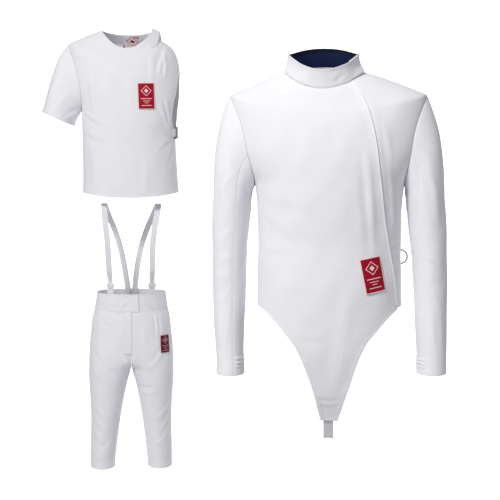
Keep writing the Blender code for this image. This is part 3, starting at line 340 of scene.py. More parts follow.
def mottled(name, first, second, roughness, grain, depth, metallic=0.0, stretch=(1.0, 1.0, 1.0)):
    """A material mixed from two near colours by a noise whose grain is this long in metres, with a bump of
    the same noise and a roughness that follows it. stretch draws the grain out."""
    made, shader = new_material(name, first, roughness, metallic)
    tree = made.node_tree
    place = add_node(tree, "TexCoord")
    drawn = add_node(tree, "Mapping", {"Vector": place.outputs["Object"]}, Scale=stretch)
    noise = add_node(tree, "TexNoise", {"Vector": drawn.outputs["Vector"]}, Scale=1 / grain,
                     Detail=5.0)
    mixed_colour(tree, shader, noise.outputs["Fac"], first, second)
    rough = add_node(tree, "MapRange", {"Value": noise.outputs["Fac"]})
    rough.inputs["To Min"].default_value = roughness - 0.08
    rough.inputs["To Max"].default_value = roughness + 0.08
    tree.links.new(rough.outputs["Result"], shader.inputs["Roughness"])
    bump = add_node(tree, "Bump", {"Height": noise.outputs["Fac"]}, Strength=0.5, Distance=depth)
    tree.links.new(bump.outputs["Normal"], shader.inputs["Normal"])
    return made


# %% [markdown]
# ## Cotton drill
# Drill is a twill: each row of weft steps over by one thread, and that gives fine slanting ribs. Real ribs
# stand about 0.6 mm apart, too fine for the picture, so they are drawn at 1.2 mm. They are laid out on
# each piece's own UV map, which is in metres, so the ribs follow the cut of the cloth. Threads vary in
# thickness, which a stretched noise gives, and a low sheen stands for the short fibres that catch grazing
# light.

# %% Cotton drill
TWILL_RIB = 0.0012
THREAD = 0.0007
WAVE = 0.3142  # the length of one wave of the wave texture at scale 1


def woven_bump(tree, shader, rib, depth, slant):
    """Ribs along a slant, and threads across them, as a height field on the UV map in metres."""
    place = add_node(tree, "UVMap", uv_map="cloth")
    turned = add_node(tree, "Mapping", {"Vector": place.outputs["UV"]}, Rotation=(0, 0, slant))
    across = {"Vector": turned.outputs["Vector"]}
    ribs = add_node(tree, "TexWave", across, Scale=WAVE / rib, Distortion=0.6, Detail=1.0)
    stretched = add_node(tree, "Mapping", across, Scale=(1 / THREAD, 0.08 / THREAD, 1.0))
    slub = add_node(tree, "TexNoise", {"Vector": stretched.outputs["Vector"]}, Scale=0.35,
                    Detail=3.0)
    both = add_node(tree, "Math", {0: ribs.outputs["Fac"], 1: slub.outputs["Fac"]}, operation="ADD")
    bump = add_node(tree, "Bump", {"Height": both.outputs[0]}, Strength=0.35, Distance=depth)
    tree.links.new(bump.outputs["Normal"], shader.inputs["Normal"])
    return place


def woven(name, first, second, roughness, rib, depth, slant, sheen, patch=0.03):
    """A woven cloth: two near colours mixed by a noise of patch metres, ribs in its bump, and a sheen."""
    made, shader = new_material(name, first, roughness)
    tree = made.node_tree
    place = woven_bump(tree, shader, rib, depth, slant)
    patches = add_node(tree, "TexNoise", {"Vector": place.outputs["UV"]}, Scale=1 / patch,
                       Detail=4.0)
    mixed_colour(tree, shader, patches.outputs["Fac"], first, second)
    shader.inputs["Sheen Weight"].default_value = sheen
    shader.inputs["Sheen Roughness"].default_value = 0.5
    shader.inputs["Specular IOR Level"].default_value = 0.25
    return made


COTTON = woven("cotton drill, woven in a twill", "#F1F1F5", "#ECECF1", 0.86, TWILL_RIB, 0.00012, 0.95, 0.04)
LINING = woven("navy lining, plain woven", "#0A1F52", "#061236", 0.66, 0.0010, 0.00008, 0.0, 0.05)
ELASTIC = woven("elastic webbing, knitted ribs", "#D9D9DE", "#CFCFD6", 0.70, 0.0014, 0.00025, 0.0, 0.15,
                patch=0.01)
BRACE_TAPE = woven("brace elastic, knitted ribs", "#ECECF0", "#E4E4EA", 0.72, 0.0012, 0.00020, 0.0, 0.12,
                   patch=0.01)
THREAD_WHITE = mottled("polyester sewing thread, spun", "#ECECF1", "#DEDEE5", 0.55, 0.0006, 0.00004)
print("cloths:", COTTON.name, "/", LINING.name, "/", ELASTIC.name)

# %% [markdown]
# ## From a grid to a wall of cloth
# Cloth has a thickness, so each piece is a closed wall: an outer grid, an inner grid behind it (2 mm for
# the drill) and a rim between their borders. The rim has a middle row that is pushed out a little, which
# rounds the raw edge as a turned one is. Faces are index arithmetic on whole arrays, without a loop over
# the vertices.

# %% From a grid to a wall
CLOTH = 0.002
RIM_ROUND = 0.38  # how far the rim's middle row stands out, as a share of the thickness
GARMENTS = "garments"


def border_loops(rows, columns, ring):
    """The border's point numbers, anticlockwise seen from outside: one loop, or two on a ring."""
    index = np.arange(rows * columns).reshape(rows, columns)
    if ring:
        return [index[0], index[-1, ::-1]]
    return [np.concatenate([index[0, :-1], index[:-1, -1], index[-1, :0:-1], index[:0:-1, 0]])]


def wall_mesh(outer, inner, ring, free):
    """Points and quads of the closed wall between two grids. A rim point is the mean of its outer and
    inner points, moved, where it is free, along (border direction × thickness) by a share of the thickness."""
    rows, columns = outer.shape[:2]
    count = rows * columns
    cells = grid_quads(rows, columns, round_columns=ring)
    outer, inner, free = outer.reshape(-1, 3), inner.reshape(-1, 3), free.reshape(-1, 1)
    points, faces, made = [outer, inner], [cells, cells[:, ::-1] + count], 2 * count
    for loop in border_loops(rows, columns, ring):
        middle, through = (outer[loop] + inner[loop]) / 2, outer[loop] - inner[loop]
        out = unit(np.cross(np.roll(middle, -1, axis=0) - np.roll(middle, 1, axis=0), through))
        reach = RIM_ROUND * free[loop] * np.linalg.norm(through, axis=1, keepdims=True)
        here, following = np.arange(len(loop)) + made, np.roll(loop, -1)
        beside = np.roll(here, -1)
        faces.append(np.stack([following, loop, here, beside], -1))
        faces.append(np.stack([beside, here, loop + count, following + count], -1))
        points.append(middle + reach * out)
        made += len(loop)
    return np.concatenate(points), np.concatenate(faces)


def mesh_object(name, points, faces, finish, uv=None, around=0.0):
    """A smooth mesh object from arrays. uv gives each point's place on the cloth, in metres, and around is
    the length of a ring, added where a face crosses from the end of the map to its beginning."""
    mesh = bpy.data.meshes.new(name)
    mesh.vertices.add(len(points))
    mesh.vertices.foreach_set("co", np.asarray(points, np.float32).ravel())
    mesh.loops.add(faces.size)
    mesh.loops.foreach_set("vertex_index", faces.astype(np.int32).ravel())
    mesh.polygons.add(len(faces))
    mesh.polygons.foreach_set("loop_start", np.arange(0, faces.size, faces.shape[1], dtype=np.int32))
    mesh.update(calc_edges=True)
    mesh.shade_smooth()
    mesh.set_sharp_from_angle(angle=math.radians(80))
    mesh.materials.append(finish)
    if uv is not None:
        corner = np.asarray(uv, float)[faces]
        if around:
            crossing = corner[..., 0] < corner[..., 0].max(axis=1, keepdims=True) - around / 2
            corner[..., 0] += around * crossing
        mesh.uv_layers.new(name="cloth").data.foreach_set("uv", corner.astype(np.float32).ravel())
    made = bpy.data.objects.new(name, mesh)
    bpy.context.scene.collection.objects.link(made)
    return made


# %% [markdown]
# ## Where each garment hangs
# The jacket's frame is the whole part's frame. The other two garments are worked out in frames of their
# own and then turned and moved as arrays, so that every finished object sits at the origin with its place
# in its mesh.


# %% Where each garment hangs
class Place:
    """A turn about +Z after a lean about +Y, both in degrees, and then a move."""

    def __init__(self, move, yaw=0.0, lean=0.0):
        a, b = math.radians(yaw), math.radians(lean)
        turn = np.array([[math.cos(a), -math.sin(a), 0], [math.sin(a), math.cos(a), 0], [0, 0, 1]])
        tip = np.array([[math.cos(b), 0, math.sin(b)], [0, 1, 0], [-math.sin(b), 0, math.cos(b)]])
        self.matrix, self.move = turn @ tip, np.array(move)

    def __call__(self, points):
        return points @ self.matrix.T + self.move


JACKET = Place((0.0, 0.0, 0.0))
PROTECTOR = Place((-0.674, 1.159, 0.2280), yaw=8.0)
BREECHES = Place((-0.678, 1.159, -0.654), yaw=10.8, lean=0.6)

# %% [markdown]
# ## Seams, hems and folds
# Three things make flat cloth look sewn. A seam pulls its two edges down by under a millimetre and puckers
# them where the thread is tight. A hem is a second layer, so it stands proud and ends in a stitched dip.
# Folds are soft ridges with a trough on one side, each laid through three places on the surface,
# with its own width and depth, and they die away before a seam. All of this is a height, added along the
# normals.

# %% Seams, hems and folds
SEAM_DIP = 0.0006
SEAM_SPREAD = 0.0022
PUCKER = 0.00022
PUCKER_LENGTH = 0.0095
HEM_RISE = 0.0010
HEM_DIP = 0.0008
FOLD_FADE = 0.014


def arc_lengths(points):
    """Distance run along each row and along each column, from the sum of the steps between points."""
    across = np.cumsum(np.linalg.norm(np.diff(points, axis=1), axis=-1), axis=1)
    along = np.cumsum(np.linalg.norm(np.diff(points, axis=0), axis=-1), axis=0)
    return np.pad(across, ((0, 0), (1, 0))), np.pad(along, ((1, 0), (0, 0)))


def pucker(distance, along, phase):
    """Small waves beside a seam: two sines of unlike length along it, fading as exp(−distance / 5 mm)."""
    turns = along / PUCKER_LENGTH
    wave = np.sin(2 * math.pi * turns + phase) + 0.6 * np.sin(turns * 3.9 + phase)
    return PUCKER * wave * np.exp(-distance / 0.005) * ease(distance / 0.0015)


def edge_height(distance, along, kind, phase):
    """The height beside one edge. kind is the word seam, or the hem's width in metres."""
    if isinstance(kind, str):
        return -SEAM_DIP * bump_at(distance, SEAM_SPREAD) + pucker(distance, along, phase)
    layer = HEM_RISE * (1 - ease((distance - kind) / 0.0012 + 0.5))
    stitched = -HEM_DIP * bump_at(distance - kind + 0.0018, 0.0014)
    return layer + stitched + 0.8 * pucker(np.abs(distance - kind) + 0.0015, along, phase)


def fold_height(points, normal, line, width, depth):
    """A fold along a bent line of three points. The height at signed distance q widths from the line is
    depth times (exp(−q²) − 0.55 exp(−(q − 1.5)²)), and a sine makes it die away towards both ends."""
    t = np.linspace(0, 1, 13)[:, None]
    bent = line[0] * (1 - t) ** 2 + 2 * line[1] * t * (1 - t) + line[2] * t**2
    middle, reach = bent[6], np.linalg.norm(bent - bent[6], axis=1).max() + 3.2 * width
    height = np.zeros(points.shape[:-1])
    near = np.linalg.norm(points - middle, axis=-1) < reach
    if not near.any():
        return height
    some, face = points[near], normal[near]
    start, way = bent[:-1], np.diff(bent, axis=0)
    offset = some[:, None] - start
    share = np.clip((offset * way).sum(-1) / (way * way).sum(-1), 0, 1)
    apart = offset - share[..., None] * way
    size = np.linalg.norm(apart, axis=-1)
    best = size.argmin(axis=1)
    pick = np.arange(len(best)), best
    side = np.sign((np.cross(way[best], face) * apart[pick]).sum(-1))
    q = side * size[pick] / width
    run = (best + share[pick]) / len(way)
    height[near] = depth * (np.exp(-(q**2)) - 0.55 * np.exp(-((q - 1.5) ** 2))) * np.sin(math.pi * run) ** 0.7
    return height


def unevenness(points, size):
    """A very soft waviness of the whole cloth: three sines of unlike length and direction."""
    x, y, z = points[..., 0], points[..., 1], points[..., 2]
    wave = np.sin(61 * x + 23 * z) + np.sin(37 * z - 44 * y + 1.3) + np.sin(83 * x - 51 * z + 29 * y + 0.4)
    return size * wave / 3


# %% [markdown]
# ## One call for a piece of cloth
# Every panel goes the same way: points and normals on its surface, heights for its edges and folds, the
# wall, its UV map in metres from the arc lengths, the body it rides and the solids it replaces, which are
# hidden. What is worked out is kept under the piece's name, because stitches, labels and facings later lie
# on the very same points.

# %% One call for a piece of cloth
PIECES = {}
SWAY = 0.0009
GRID_STEP = 0.0042
EDGE_STEPS = np.array([0.0009, 0.0021])
TRUNK_HEM = 0.012
FOLD_STRENGTH = 1.35


def edge_distances(points, ring):
    """The distance of each point from the left, right, bottom and top edges, along the cloth."""
    across, along = arc_lengths(points)
    far = np.full(points.shape[:2], 1.0)
    left, right = (far, far) if ring else (across, across[:, -1:] - across)
    return {"left": left, "right": right, "bottom": along, "top": along[-1:] - along}, across, along


def sewn_height(points, normal, edges, folds, sway, ring):
    """The sum of the soft waviness, the folds, which fade beside a seam, and the heights at each edge."""
    distance, across, along = edge_distances(points, ring)
    height = unevenness(points, sway)
    for line, width, depth in folds:
        height = height + fold_height(points, normal, line, width, depth)
    widths = {edge: np.zeros((1, 1)) if isinstance(kind, str) else kind for edge, kind in edges.items()}
    for edge, kind in widths.items():
        if isinstance(kind, np.ndarray):
            height = height * np.where(kind > 0, 1.0, ease(distance[edge] / FOLD_FADE))
    for number, (edge, kind) in enumerate(widths.items()):
        run = along if edge in ("left", "right") else across
        if isinstance(kind, np.ndarray):  # the hem's width row by row, and a seam where it is 0
            hem = edge_height(distance[edge], run, np.maximum(kind, 0.004), number)
            height = height + np.where(kind > 0, hem, edge_height(distance[edge], run, "seam", number))
        else:
            height = height + edge_height(distance[edge], run, kind, number)
    return height, across, along


def free_border(shape, edges):
    """1 on every point, but 0 on an edge sewn to another piece, where a rounded rim would run into it."""
    free = np.ones((*shape, 1))
    where = {"left": np.s_[:, :1], "right": np.s_[:, -1:], "bottom": np.s_[:1], "top": np.s_[-1:]}
    for edge, kind in edges.items():
        if isinstance(kind, np.ndarray):
            free[where[edge]] = free[where[edge]] * (kind[..., None] > 0)
        elif isinstance(kind, str):
            free[where[edge]] = 0.0
    return free


def cloth(name, place, points, edges, nodes, slot, finish, folds=(), lift=0.0, thick=CLOTH, ring=False,
          sway=SWAY, held="hung"):
    """A piece of cloth over a grid of points: wall, material, body and replaced solids; slot is not used."""
    normal = grid_normals(points, ring)
    height, across, along = sewn_height(points, normal, edges, folds, sway, ring)
    outer = points + (lift + height)[..., None] * normal  # lift is one value, or one for each point
    inner = outer - thick * normal
    world, faces = wall_mesh(place(outer), place(inner), ring, free_border(points.shape[:2], edges))
    closing = np.linalg.norm(points[:, :1] - points[:, -1:], axis=-1) if ring else 0.0
    around = float((across[:, -1:] + closing).mean()) if ring else 0.0
    u = across - across[:, -1:] / 2
    if ring:
        u = np.arange(points.shape[1]) / points.shape[1] * around + 0 * across
    uv = np.stack([u, along], -1).reshape(-1, 2)
    borders = np.concatenate(border_loops(*points.shape[:2], ring))
    made = mesh_object(name, world, faces, finish, np.concatenate([uv, uv, uv[borders]]), around)
    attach(made, GARMENTS)
    if nodes:
        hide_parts(*nodes)
    PIECES[name] = {"outer": outer, "normal": normal, "across": across, "along": along, "place": place}
    return made


def panel(solid, place, points, edges, folds=(), **settings):
    """A panel of white cotton drill that stands for the solid of this name."""
    return cloth(f"{solid}_fine", place, points, edges, [solid], "cotton_drill", COTTON, folds, **settings)


def seams_and_hem(bottom):
    """Edges sewn to other pieces at both sides and the top, and this kind of edge at the bottom."""
    return {"left": "seam", "right": "seam", "bottom": bottom, "top": "seam"}


def through_marks(marks, step=GRID_STEP):
    """Stations from the first mark to the last and through every mark, at most a step apart, closer at both
    ends, where the seams' dips are narrow."""
    spans = [np.linspace(a, b, max(2, math.ceil((b - a) / step) + 1))[:-1] for a, b in zip(marks, marks[1:])]
    return np.unique(np.concatenate([*spans, marks[-1:], marks[0] + EDGE_STEPS, marks[-1] - EDGE_STEPS]))


def end_shares(length, step=GRID_STEP):
    """Shares from 0 to 1 across a length in metres, a step apart, closer together at both ends."""
    near = np.array([0.0, *EDGE_STEPS]) / length
    even = np.linspace(GRID_STEP / length, 1 - GRID_STEP / length, max(3, round(length / step)))
    return np.concatenate([near, even, 1 - near[::-1]])


def rows_between(left, right, stations, shares):
    """Grids of turn and station between two edges that are functions of the station."""
    low, high = left(stations)[:, None], right(stations)[:, None]
    turn = low + (high - low) * shares
    return turn, np.repeat(stations[:, None], turn.shape[1], axis=1)


def spot(body, x, height, back=False):
    """The point of a trunk's front, or its back, at this x and height."""
    station = np.asarray(height, float)
    for _ in range(8):
        turn = body.turn_at(x, station)
        turn = math.pi - turn if back else turn
        station = body.station_at(turn, height)
    return body.point(turn, station)


def folds_on(place_of, rows, strength=FOLD_STRENGTH):
    """Folds from rows of three places on a surface, and a width and a depth in mm, times a strength."""
    made = []
    for *places, width, depth in rows:
        line = np.array([place_of(*places[i : i + 2]) for i in (0, 2, 4)])
        made.append((line, width / 1000, depth / 1000 * strength))
    return made


def trunk_folds(body, rows, strength=FOLD_STRENGTH, back=False):
    """Folds on a trunk's front, or its back."""
    return folds_on(lambda x, z: spot(body, x / 1000, z / 1000, back), rows, strength)


def sleeve_folds(sleeve, rows, strength):
    """Folds on a sleeve, whose places are an angle in degrees and a reach."""
    return folds_on(lambda angle, reach: sleeve.point(math.radians(angle), reach), rows, strength)


# %% [markdown]
# ## The jacket's trunk
# The front runs from the right side seam to a closure that slants from the neck towards the left hip, and
# it ends below in a tongue. The side front, with the left armhole, lies under the closure. The widths
# below come from the picture at the jacket's distance: a waist of 33 cm across, a chest of 44 cm at the
# sleeves.

# %% The jacket's trunk
JACKET_HEM = -0.520
JACKET_ROWS = (
    # station, front_z, back_z, centre, right, left, front, back, square
    (-0.790, -0.790, -0.790, 0.0010, 0.150, 0.150, 0.036, 0.075, 2.1),
    (-0.700, -0.700, -0.700, 0.0035, 0.156, 0.156, 0.080, 0.090, 2.1),
    (-0.600, -0.600, -0.600, 0.0010, 0.162, 0.160, 0.104, 0.102, 2.2),
    (-0.520, -0.520, -0.552, 0.0, 0.1640, 0.1625, 0.112, 0.106, 2.2),
    (-0.460, -0.460, -0.465, 0.0, 0.1645, 0.1625, 0.114, 0.104, 2.2),
    (-0.385, -0.385, -0.385, 0.0, 0.1625, 0.1600, 0.113, 0.095, 2.2),
    (-0.310, -0.310, -0.310, 0.0, 0.1640, 0.1610, 0.118, 0.101, 2.2),
    (-0.248, -0.245, -0.245, 0.0, 0.1700, 0.1670, 0.121, 0.112, 2.2),
    (-0.205, -0.201, -0.199, 0.0, 0.1920, 0.1870, 0.120, 0.118, 2.2),
    (-0.165, -0.164, -0.158, 0.0, 0.2110, 0.2030, 0.116, 0.119, 2.2),
    (-0.105, -0.118, -0.098, 0.0, 0.2220, 0.2120, 0.107, 0.113, 2.2),
    (-0.049, -0.087, -0.052, -0.001, 0.2265, 0.2150, 0.096, 0.102, 2.2),
    (-0.0365, -0.075, -0.035, -0.002, 0.2010, 0.1900, 0.089, 0.095, 2.2),
    (-0.0235, -0.062, -0.016, -0.0035, 0.1660, 0.1570, 0.082, 0.085, 2.2),
    (-0.0090, -0.049, 0.003, -0.008, 0.1300, 0.1230, 0.076, 0.074, 2.1),
    (0.004, -0.036, 0.018, -0.0170, 0.0880, 0.0890, 0.069, 0.062, 2.1),
)
TONGUE_ROWS = (
    # height, half the width
    (-0.7815, 0.0198), (-0.7700, 0.0222), (-0.7550, 0.0262), (-0.7250, 0.0335), (-0.6810, 0.0468),
    (-0.6405, 0.0602), (-0.6010, 0.0785), (-0.5670, 0.1055), (-0.5310, 0.1415), (-0.5200, 0.1640),
)
CLOSURE_ROWS = (
    # height, distance from the middle plane
    (-0.5200, 0.1510), (-0.4550, 0.1430), (-0.3750, 0.1285), (-0.3000, 0.1165), (-0.2300, 0.1085),
    (-0.1500, 0.0985), (-0.0950, 0.0860), (-0.0550, 0.0700), (-0.0200, 0.0470),
)
PLACKET_WIDTH = 0.024
TONGUE_HEM = 0.010
JACKET_BODY = Body(JACKET_ROWS)
JACKET_ARMHOLES = {side: Armhole(JACKET_BODY, side, bottom=-0.248, top=-0.049, reach=30) for side in (-1, 1)}
tongue_half = columns_of(("station", "half"), TONGUE_ROWS)["half"]
closure_x = columns_of(("station", "x"), CLOSURE_ROWS)["x"]


def tongue_edge(station, side):
    """The turn of the tongue's edge: half its width from the section's own middle."""
    return JACKET_BODY.turn_at(JACKET_BODY.column["centre"](station) + side * tongue_half(station), station)


def closure(station):
    """The turn of the closure, found from its x at the height it reaches."""
    turn = JACKET_BODY.turn_at(closure_x(station), station)
    for _ in range(4):
        turn = JACKET_BODY.turn_at(closure_x(JACKET_BODY.point(turn, station)[..., 2]), station)
    return turn


def front_left(station):
    """The turn of the front's edge at the right armhole, and below the hem at the tongue."""
    return np.where(station < JACKET_HEM, tongue_edge(station, -1), JACKET_ARMHOLES[-1].front_edge(station))


def front_right(station):
    """The turn of the closure, and below the hem the tongue's edge where it lies further in."""
    below = np.minimum(tongue_edge(station, 1), closure(station))
    return np.where(station < JACKET_HEM, below, closure(station))


TRUNK_MARKS = np.array((JACKET_HEM, -0.270, -0.248, -0.225, -0.049, -0.0365, -0.0090, 0.004))
FRONT_FOLDS = (
    # x and z of the start, the middle and the end, width and depth, all in mm
    (78, -165, 88, -285, 98, -400, 9, 2.4),
    (56, -255, 72, -330, 80, -395, 14, 1.0),
    (-135, -262, -85, -290, -30, -285, 14, 0.8),
    (-150, -300, -110, -340, -60, -352, 12, 0.7),
    (-148, -395, -120, -380, -70, -392, 10, 0.5),
    (-140, -205, -128, -262, -132, -330, 12, 0.9),
    (-120, -120, -132, -175, -128, -225, 13, 0.6),
    (-40, -90, -58, -130, -50, -190, 14, 0.4),
    (12, -85, 30, -135, 26, -205, 14, 0.5),
    (52, -455, 26, -590, 14, -725, 17, 1.7),
    (-86, -545, -62, -590, -40, -650, 10, 0.9),
    (-70, -572, -40, -582, -6, -575, 9, 0.8),
    (-30, -716, -4, -726, 26, -720, 4, 1.0),
    (-26, -738, 2, -743, 24, -736, 4, 0.8),
    (-120, -455, -85, -478, -30, -470, 12, 0.5),
    (50, -425, 92, -452, 128, -446, 9, 1.2),
)


def jacket_front():
    """The front: even columns, and nine over the closure's facing, whose share of a row is that of its
    width. Rows crowd together at the tongue's tip and just below the hem, where the edges turn quickly."""
    tip = TONGUE_ROWS[0][0]
    marks = np.concatenate([[tip, -0.770], TRUNK_MARKS])
    stations = np.unique(np.concatenate([through_marks(marks), tip + np.geomspace(0.0005, 0.004, 3),
                                         JACKET_HEM - np.geomspace(0.00004, 0.022, 22)]))
    low, high = front_left(stations), front_right(stations)
    edge, beside = JACKET_BODY.point(high, stations), high - 0.05
    for _ in range(4):
        reach = np.linalg.norm(edge - JACKET_BODY.point(beside, stations), axis=-1)
        beside = high - (high - beside) * PLACKET_WIDTH / reach
    facing = np.minimum((high - beside) / (high - low), 0.25)[:, None]
    wide = end_shares(0.34)[None, :]
    wide = wide[:, wide[0] < 1 - 0.0035]
    strips = np.array([1.0, 0.83, 0.66, 0.5, 0.34, 0.20, 0.10, 0.04, 0.0])[None, :]
    shares = np.concatenate([wide / wide.max() * (1 - facing * 1.12), 1 - facing * strips], axis=1)
    turn, station = rows_between(front_left, front_right, stations, shares)
    tongue_hem = (stations < JACKET_HEM)[:, None] * TONGUE_HEM
    edges = {"left": tongue_hem, "right": np.maximum(tongue_hem, 0.004), "bottom": TONGUE_HEM, "top": "seam"}
    panel("jacket_front", JACKET, JACKET_BODY.point(turn, station), edges,
          trunk_folds(JACKET_BODY, FRONT_FOLDS))
    return stations


front_stations = jacket_front()

# %% [markdown]
# ## Side front, facing and back
# The side front lies under the closure, so it starts at the same line. The facing is a second layer on the
# front's own edge, made from the front's finished points, and it tapers towards the line where it is
# stitched down. The back goes round from one armhole to the other. Short pinched folds sit where the
# closure pulls on the side front, and at the waist of the back.

# %% Side front, facing and back
SIDE_FRONT_FOLDS = (
    (110, -105, 130, -190, 139, -330, 13, -1.2),
    (120, -392, 131, -381, 145, -376, 4, 1.3),
    (124, -420, 134, -408, 147, -404, 4, 1.0),
    (128, -446, 137, -433, 149, -431, 4, 1.4),
    (131, -478, 140, -462, 150, -459, 4, 1.1),
    (135, -498, 143, -486, 152, -484, 3, 0.9),
    (112, -262, 128, -290, 146, -322, 7, 1.8),
    (128, -205, 137, -262, 140, -340, 8, 2.0),
    (110, -105, 128, -155, 132, -215, 9, 2.0),
    (88, -80, 98, -110, 108, -150, 7, 1.2),
)
BACK_FOLDS = (
    (-105, -160, -80, -260, -88, -370, 13, 2.1),
    (112, -150, 90, -255, 96, -350, 14, 2.3),
    (-20, -120, -34, -200, -22, -300, 14, 1.1),
    (40, -185, 48, -270, 36, -345, 12, 0.9),
    (-120, -372, -60, -392, 10, -384, 9, 1.4),
    (130, -398, 80, -416, 30, -406, 8, 1.2),
    (-140, -425, -95, -440, -45, -432, 8, 0.9),
    (-148, -240, -120, -268, -85, -276, 8, 1.6),
    (146, -232, 122, -262, 90, -275, 9, 1.5),
    (-60, -445, -52, -490, -56, -535, 10, 1.2),
    (64, -440, 70, -490, 62, -530, 11, 1.4),
    (10, -30, 0, -65, 14, -110, 12, 0.9),
)


def back_right(armhole):
    """The back edge of a right armhole as a turn past a whole one, so that a back runs on behind."""
    return lambda station: 2 * math.pi + armhole.back_edge(station)


def jacket_sides():
    """The side front, from the closure to the left armhole, and the back, from there to the right one."""
    stations = through_marks(TRUNK_MARKS)
    left, right = JACKET_ARMHOLES[1], JACKET_ARMHOLES[-1]
    turn, station = rows_between(closure, left.front_edge, stations, end_shares(0.12)[None, :])
    panel("jacket_side_front", JACKET, JACKET_BODY.point(turn, station), seams_and_hem(TRUNK_HEM),
          trunk_folds(JACKET_BODY, SIDE_FRONT_FOLDS))
    turn, station = rows_between(left.back_edge, back_right(right), stations, end_shares(0.44)[None, :])
    panel("jacket_back", JACKET, JACKET_BODY.point(turn, station), seams_and_hem(TRUNK_HEM),
          trunk_folds(JACKET_BODY, BACK_FOLDS, back=True))


def closure_facing():
    """The facing on the closure's edge: the front's last columns from the hem up. It comes out of the
    front's surface at the stitched line and stands 1.8 mm off it at the edge."""
    front = PIECES["jacket_front_fine"]
    rows = slice(int(np.searchsorted(front_stations, JACKET_HEM + 0.004)), -3)
    points = front["outer"][rows, -9:]
    taper = -0.0003 + 0.0021 * ease(np.linspace(0, 1, 9))[None, :]
    panel("jacket_placket", JACKET, points, {"right": 0.0045}, lift=taper, thick=0.0013, sway=0.0)


jacket_sides()
closure_facing()

# %% [markdown]
# ## The jacket's sleeves
# Each sleeve has two pieces, a wider upper one and an under one, with seams 70 degrees off the inner side.
# Cloth gathers at the inside of the elbow in short folds that fan out from the inner seam, and above the
# cuff the under piece is taken in by three small tucks. A tuck is a bell across the sleeve, and each has
# its own height.

# %% The jacket's sleeves
SLEEVE_SEAM = math.radians(70)
CUFF_HEM = 0.018
JACKET_SLEEVES = {
    -1: (
        # reach, height, centre_x, centre_y, half_width, half_depth, tilt
        (1.0, -0.275, 0.2221, 0.002, 0.0442, 0.0628, 0.0),
        (2.0, -0.320, 0.2250, 0.002, 0.0430, 0.0608, 0.0),
        (3.0, -0.397, 0.2277, 0.000, 0.0402, 0.0558, 0.0),
        (4.0, -0.477, 0.2288, -0.004, 0.0381, 0.0518, 0.0),
        (5.0, -0.556, 0.2286, -0.012, 0.0353, 0.0468, 0.0),
        (6.0, -0.6245, 0.2262, -0.022, 0.0321, 0.0418, 0.0),
        (7.0, -0.677, 0.2240, -0.031, 0.0314, 0.0388, 0.0),
    ),
    1: (
        (1.0, -0.275, 0.2130, 0.002, 0.0442, 0.0628, 0.0),
        (2.0, -0.320, 0.2175, 0.002, 0.0430, 0.0608, 0.0),
        (3.0, -0.397, 0.2235, 0.000, 0.0404, 0.0558, 0.0),
        (4.0, -0.477, 0.2280, -0.004, 0.0382, 0.0518, 0.0),
        (5.0, -0.556, 0.2292, -0.012, 0.0359, 0.0468, 0.0),
        (6.0, -0.6245, 0.2305, -0.022, 0.0340, 0.0418, 0.0),
        (7.0, -0.6695, 0.2305, -0.031, 0.0326, 0.0388, 0.0),
    ),
}
SLEEVE_FOLDS = (
    # angle in degrees and reach of the start, the middle and the end, width and depth in mm
    (80, 0.50, 105, 0.80, 128, 1.00, 8, 2.0),
    (100, 0.35, 112, 0.90, 118, 2.20, 9, 1.7),
    (150, 0.60, 160, 1.40, 150, 2.60, 11, 1.4),
    (75, 2.30, 98, 2.60, 125, 2.70, 7, 1.5),
    (72, 3.20, 95, 3.10, 128, 3.30, 7, 1.9),
    (74, 3.60, 102, 3.75, 132, 3.65, 8, 1.6),
    (76, 4.10, 98, 4.20, 122, 4.50, 7, 1.7),
    (118, 4.60, 126, 5.10, 122, 5.90, 9, 1.4),
    (85, 4.80, 96, 5.30, 100, 6.10, 8, 1.3),
    (235, 0.60, 245, 1.30, 238, 2.40, 10, 1.8),
    (284, 3.00, 262, 3.10, 232, 3.00, 7, 1.6),
    (285, 3.70, 260, 3.60, 236, 3.80, 8, 1.9),
    (282, 4.40, 262, 4.50, 240, 4.80, 7, 1.3),
    (205, 2.80, 198, 3.60, 204, 4.70, 12, 1.1),
    (250, 5.00, 244, 5.60, 250, 6.20, 8, 1.1),
    (-50, 0.55, -20, 0.85, 20, 0.95, 7, 1.8),
    (-40, 1.50, 0, 1.80, 40, 1.60, 8, 1.5),
    (-45, 3.00, -5, 3.15, 42, 2.95, 7, 1.6),
    (-42, 3.65, 5, 3.55, 45, 3.75, 7, 1.4),
    (-38, 4.30, 0, 4.40, 36, 4.25, 8, 1.0),
)


def tucks(angle, reach):
    """Three tucks across the under piece: bells in the reach, each with its own height, which a sine of the
    angle varies by a quarter. They fade towards both seams."""
    wave = np.zeros(np.broadcast(angle, reach).shape)
    for middle, size in ((6.26, 0.0024), (6.44, 0.0030), (6.60, 0.0020)):
        uneven = 1 + 0.25 * np.sin(9 * angle + 40 * middle)
        wave = wave + size * bump_at(reach - middle, 0.045) * uneven
    return wave * ease((SLEEVE_SEAM - np.abs(angle)) / 0.30)


